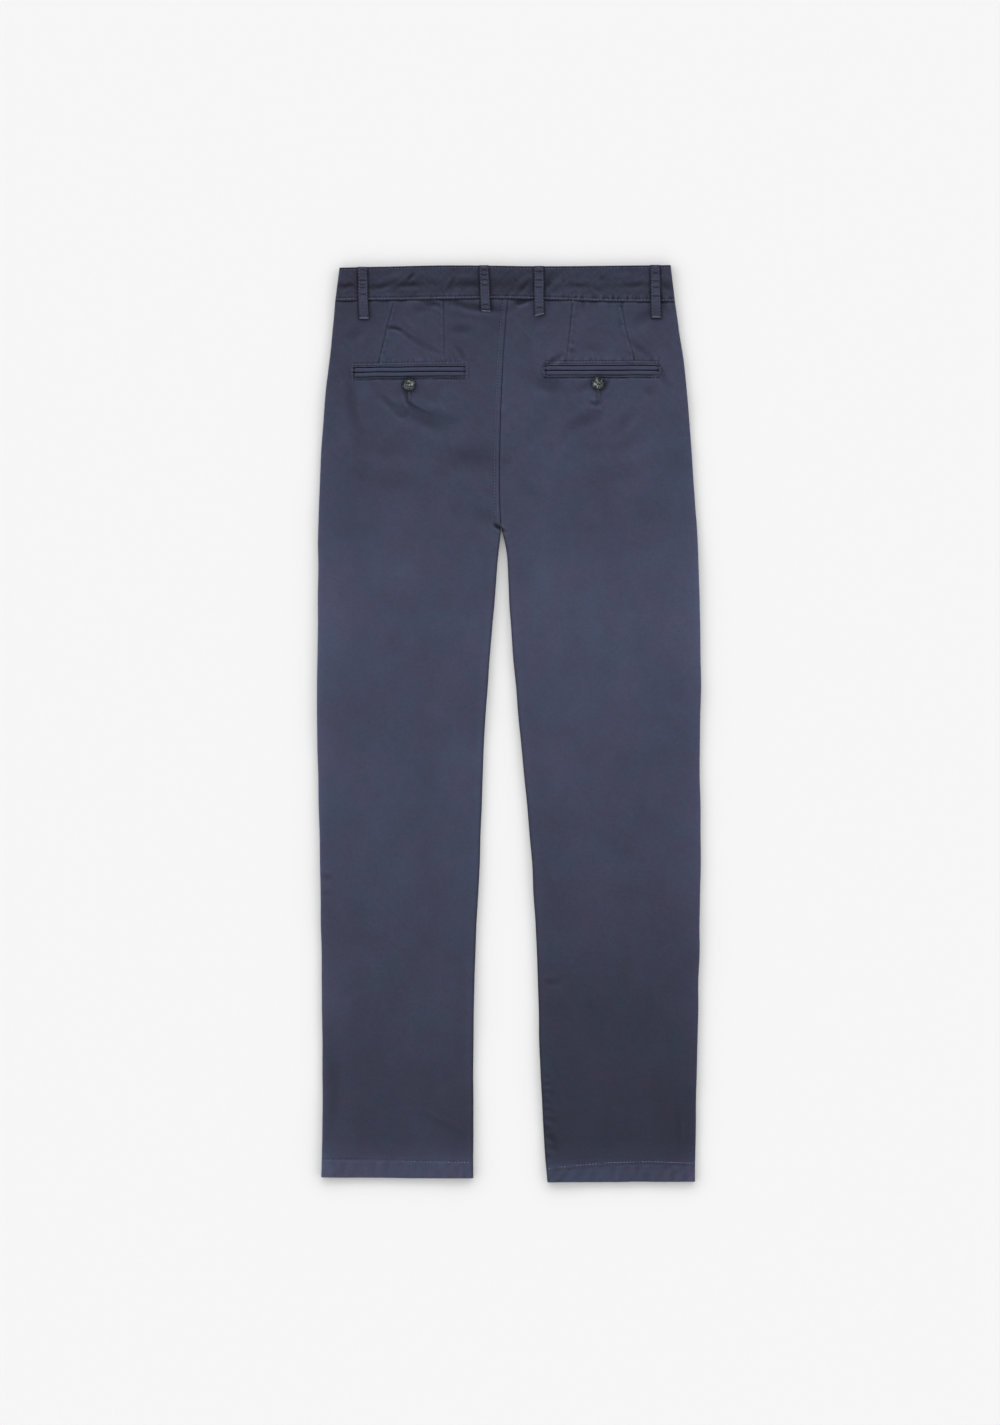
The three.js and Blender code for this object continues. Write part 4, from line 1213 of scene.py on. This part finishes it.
def strands(starts, ends, surface, thick, facing):
    """Points and faces of one short bowed strand of thread from each start to each end. Facing
    is 1 for sewing seen from above, and -1 for sewing pressed flat on the under side."""
    starts, ends = np.array(starts, float), np.array(ends, float)
    ring = np.arange(STRAND_SIDES)
    angle = ring * 2 * math.pi / STRAND_SIDES
    rise = np.sin(math.pi * STRAND_RINGS)
    thickness = thick * (0.25 + 0.75 * rise**0.4)[:, None]
    centre = mix(starts[:, None, :], ends[:, None, :], STRAND_RINGS[None, :, None])
    way = (ends - starts) / np.maximum(np.linalg.norm(ends - starts, axis=1, keepdims=True), 1e-6)
    side = np.stack([-way[:, 1], way[:, 0]], axis=1)[:, None, None, :]
    flat = centre[:, :, None, :] + side * (np.cos(angle) * thickness)[None, :, :, None]
    level = surface(centre[..., 0], centre[..., 1]) + facing * (BOWS[facing] * rise - SUNK)
    points = placed(flat[..., 0], flat[..., 1], level[:, :, None] + np.sin(angle) * 0.8 * thickness)
    after = np.roll(ring, -1)
    last = (len(STRAND_RINGS) - 1) * STRAND_SIDES
    faces = []
    for near in range(0, last, STRAND_SIDES):
        far = near + STRAND_SIDES
        faces += np.stack([near + ring, near + after, far + after, far + ring], axis=1).tolist()
    faces += [ring[::-1].tolist(), (ring + last).tolist()]
    size = last + STRAND_SIDES
    all_faces = [[i + n * size for i in face] for n in range(len(starts)) for face in faces]
    return points.reshape(-1, 3), all_faces


def line_of(x, down):
    """Places across and down as the points of a line."""
    return np.stack(np.broadcast_arrays(x, down), axis=1)


def stitch_places(line):
    """Starts and ends of even stitches along a line through the points."""
    line = np.array(line, float)
    run = np.concatenate([[0], np.cumsum(np.linalg.norm(np.diff(line, axis=0), axis=1))])
    length = STITCH_PITCH * STITCH_SHARE
    begin = np.arange(0, run[-1] - length, STITCH_PITCH)
    x, down = line.T
    return [line_of(np.interp(at, run, x), np.interp(at, run, down)) for at in (begin, begin + length)]


def sew(name, runs, thread=navy_thread):
    """One mesh of the strands in some runs: starts, ends, their surface, thickness and facing."""
    points, faces, count = [], [], 0
    for run in runs:
        made, its_faces = strands(*run)
        points.append(made)
        faces += [[i + count for i in face] for face in its_faces]
        count += len(made)
    return add_piece(name, np.concatenate(points), faces, thread)


def across_line(x0, x1, down_at, spacing=4):
    x = np.linspace(x0, x1, max(2, round(abs(x1 - x0) / spacing)))
    return line_of(x, down_at(x))


def seam_run(line, surface, thick=THREAD, facing=1):
    starts, ends = stitch_places(line)
    return starts, ends, surface, thick, facing


band_rows = [
    seam_run(across_line(-198, 189, lambda x: waist_seam(x) - SEAM_ROW), band_face),
    seam_run(across_line(-193, 184, lambda x: waist_top(x) + TOP_ROW), band_face, EDGE_THREAD),
]
for line in (
    across_line(-198, TAB_END - 2, lambda x: waist_seam(x) - SEAM_ROW),
    across_line(TAB_END + 2, 189, lambda x: waist_seam(x) - SEAM_ROW),
    across_line(-193, TAB_END - 2, lambda x: waist_top(x) + FRONT_TOP_ROW),
    across_line(TAB_END + 2, 184, lambda x: waist_top(x) + FRONT_TOP_ROW),
    [(TAB_END - 2.4, 4), (TAB_END - 2.4, 36)],
):
    band_rows.append(seam_run(line, front_band_face, EDGE_THREAD, -1))
sew("waistband_stitching", band_rows)

BOXES = {
    "left": [(-180.5, 113.6), (-48.5, 110.4), (-48.5, 128.8), (-180.5, 130.8), (-180.5, 113.6)],
    "right": [(43.1, 110.4), (169, 109.5), (174.7, 120), (170.5, 127.5), (40.3, 125.9), (43.1, 110.4)],
}
FLY_LINE = [(-35, 43), (-39, 100), (-42, 138), (-41, 152), (-36, 165), (-26, 176), (-10.5, 184)]
SLANT_STITCH = 6
for leg_name, leg in LEGS.items():
    face = partial(back_face, leg_name)
    hem = HEM_LINES[leg_name]
    sew(f"hem_stitching_{leg_name}", [seam_run(hem, face, HEM_THREAD)], worn_thread)
    down = np.linspace(WAIST + 3, FACING_END - 2, 30)
    slant = line_of(slant_line(leg, down, SLANT_STITCH), down)
    runs = [seam_run(BOXES[leg_name], face, BOX_THREAD)]
    runs += [seam_run(line, front_face, EDGE_THREAD, -1) for line in (hem, slant)]
    if leg_name == "left":
        down = np.arange(44, 290, 4.0)
        line = line_of(inner_line(leg, down) - SEAM_STITCH, down)
        runs.append(seam_run(line, face, EDGE_THREAD))
        runs.append(seam_run(FLY_LINE, front_face, EDGE_THREAD, -1))
    sew(f"panel_stitching_{leg_name}", runs)

TACK_THREAD = 0.24
TACK_LEAN = {"side_left": 0, "back_left": 0.1, "back_right": -0.25, "side_right": 0}
for loop, (top, end, end_down) in LOOPS.items():
    face = partial(loop_face, loop)
    down = np.linspace(3, end_down - 2.5, 12)
    runs = []
    for side in (-EDGE_STITCH, EDGE_STITCH):
        line = line_of(loop_centre(loop, down) + side * LOOP_WIDTH / 2, down)
        runs.append(seam_run(line, face, EDGE_THREAD))
    x = end + np.arange(-4.8, 4.9, 0.48)
    tack = end_down - 1.0 + TACK_LEAN[loop] * (x - end)
    starts, ends = line_of(x, tack - 0.9), line_of(x + 0.2, tack + 0.9)
    runs.append((starts, ends, face, TACK_THREAD, 1))
    sew(f"belt_loop_stitching_{loop}", runs)

# Buttons
# Cast in resin that is marbled like grey-brown horn and polished, with a raised rim round a
# shallow dish and four holes. The pocket buttons come through worked buttonholes, and the waist
# button lies on the under side.
BUTTON_THICK = 2.5
WAIST_BUTTON_THICK = 1.9
BUTTON_SIDES = 72
HOLE_RADIUS = 0.9
HOLE_REACH = 2.0503
HOLE_ANGLES = [math.radians(angle + 8) for angle in (45, 135, 225, 315)]
HORN_CLOUD = 4.5
POLISHED_FINISH = {"Roughness": 0.38, "Specular IOR Level": 0.22}
horn, tree, shader = new_material("polished_horn_look_resin", POLISHED_FINISH)
place = add(tree, "ShaderNodeTexCoord").outputs["Object"]
clouds = {"Vector": place, "Scale": 1 / (HORN_CLOUD * MM), "Detail": 3, "Distortion": 1.6}
streaks = add(tree, "ShaderNodeTexNoise", {}, clouds).outputs["Fac"]
ramp = add(tree, "ShaderNodeValToRGB", {}, {"Fac": streaks})
ramp.color_ramp.elements.new(0.52)
for stop, (position, colour) in zip(ramp.color_ramp.elements, (
        (0.36, "#191b1c"), (0.52, "#434648"), (0.66, "#898c91"))):
    stop.position = position
    stop.color = linear(colour)
# The mesh's tone multiplies the marbling by a painted highlight in the dish and painted shade at the rim
depth = add(tree, "ShaderNodeAttribute", {"attribute_name": "tone"}).outputs["Fac"]
multiply = {"data_type": "RGBA", "blend_type": "MULTIPLY"}
marbling_and_painted_light = {0: 1, 6: ramp.outputs["Color"], 7: depth}
tree.links.new(add(tree, "ShaderNodeMix", multiply, marbling_and_painted_light).outputs[2], shader.inputs["Base Color"])


def button(name, centre, base, thick, node, flip=False):
    """A four-hole button turned from its half section: out from the middle, and up."""
    rim = BUTTON_RADIUS
    profile = [
        (0, 0), (rim - 0.9, 0), (rim - 0.3, 0.25), (rim, 0.8), (rim, thick - 1.1),
        (rim - 0.2, thick - 0.45), (rim - 0.6, thick - 0.1), (rim - 1.1, thick),
        (rim - 1.7, thick - 0.15), (rim - 2.2, thick - 0.55), (rim - 2.8, thick - 0.8),
        (rim - 4, thick - 0.85), (0, thick - 0.8),
    ]
    body = bmesh.new()
    spine = [body.verts.new((radius * MM, 0, height * MM)) for radius, height in profile]
    edges = [body.edges.new(pair) for pair in zip(spine, spine[1:])]
    bmesh.ops.spin(body, geom=spine + edges, cent=(0, 0, 0), axis=(0, 0, 1), angle=2 * math.pi,
                   steps=BUTTON_SIDES)
    bmesh.ops.remove_doubles(body, verts=body.verts, dist=1e-6)
    bmesh.ops.recalc_face_normals(body, faces=body.faces)
    solid = bpy.data.objects.new("turning", bpy.data.meshes.new("turning"))
    body.to_mesh(solid.data)
    drills = bmesh.new()
    for angle in HOLE_ANGLES:
        turn = Matrix.Rotation(angle, 4, "Z") @ Matrix.Translation((HOLE_REACH * MM, 0, 0))
        bmesh.ops.create_cone(drills, cap_ends=True, segments=20, radius1=HOLE_RADIUS * MM,
                              radius2=HOLE_RADIUS * MM, depth=4 * thick * MM, matrix=turn)
    tool = bpy.data.objects.new("drills", bpy.data.meshes.new("drills"))
    drills.to_mesh(tool.data)
    for temporary in (solid, tool):
        bpy.context.scene.collection.objects.link(temporary)
    cut = solid.modifiers.new("holes", "BOOLEAN")
    cut.object = tool
    cut.solver = "EXACT"
    bpy.context.view_layer.update()
    drilled = solid.evaluated_get(bpy.context.evaluated_depsgraph_get()).to_mesh()
    # The cut's corners and faces come in another order each time, so both are sorted.
    points = np.array([v.co[:] for v in drilled.vertices])
    order = np.lexsort(points.round(9).T)
    points, rank = points[order], np.argsort(order)
    faces = [rank[list(p.vertices)].tolist() for p in drilled.polygons]
    starts = [face.index(min(face)) for face in faces]
    faces = sorted(face[start:] + face[:start] for face, start in zip(faces, starts))
    solid.to_mesh_clear()
    for temporary in (solid, tool):
        bpy.data.objects.remove(temporary)
    if flip:
        points = points * (1, -1, -1) + (0, 0, thick * MM)
    # Painted highlight in the middle of the dish, fading to painted shade at the rim
    depth = mix(1.5, 0.24, smooth(np.hypot(points[:, 0], points[:, 1]) / MM, 3.6, 6.4))
    points = points + placed(*centre, base)
    add_piece(name, points, faces, horn, [node], depth)


HOLE_THREAD = 0.3
THREAD_LEVEL = 0.75


def sew_on(name, x, down, height, facing):
    """Thread through a button's four holes, two strands side by side in each pair."""
    holes = [(x + HOLE_REACH * math.cos(turn), down - HOLE_REACH * math.sin(turn)) for turn in HOLE_ANGLES]
    pairs = [(holes[a], holes[b]) for a, b in ((0, 3), (1, 2))]
    shifts = [(dx, 0.0) for dx in (-0.25, 0.25)]
    starts = [np.add(a, shift) for a, b in pairs for shift in shifts]
    ends = [np.add(b, shift) for a, b in pairs for shift in shifts]
    sew(name, [(starts, ends, lambda x, down: 0 * x + height, HOLE_THREAD, facing)])


SLIT_GIMP = 0.4
HOLE_GIMP = 0.26
for leg_name, (x, down) in POCKET_BUTTONS.items():
    face = partial(back_face, leg_name)
    seat = float(face(np.array([x]), np.array([down]))[0]) + SEAM_GAP
    button(f"pocket_button_{leg_name}_horn", (x, down), seat, BUTTON_THICK, f"pocket_button_{leg_name}")
    sew_on(f"button_thread_{leg_name}", x, down, seat + BUTTON_THICK - THREAD_LEVEL, 1)
    hole_top, hole_end = down - 7, down + BUTTONHOLE_END
    step = np.arange(hole_top, hole_end, 0.55)
    runs = [seam_run([(x, hole_top), (x, hole_end)], face, SLIT_GIMP)]
    for side in (-1, 1):
        starts, ends = line_of(x + side * 0.35, step), line_of(x + side * 1.55, step + 0.15)
        runs.append((starts, ends, face, HOLE_GIMP, 1))
    bars = x + np.arange(-1.3, 1.4, 0.45)
    starts = line_of(bars, hole_end - 0.4)
    runs.append((starts, starts + (0, 1.6), face, HOLE_GIMP, 1))
    sew(f"buttonhole_{leg_name}", runs, buttonhole_thread)

button("waist_button_horn", WAIST_BUTTON, SEAM_GAP / 2, WAIST_BUTTON_THICK, "waist_button", flip=True)
sew_on("button_thread_waist", *WAIST_BUTTON, SEAM_GAP / 2 + THREAD_LEVEL, -1)
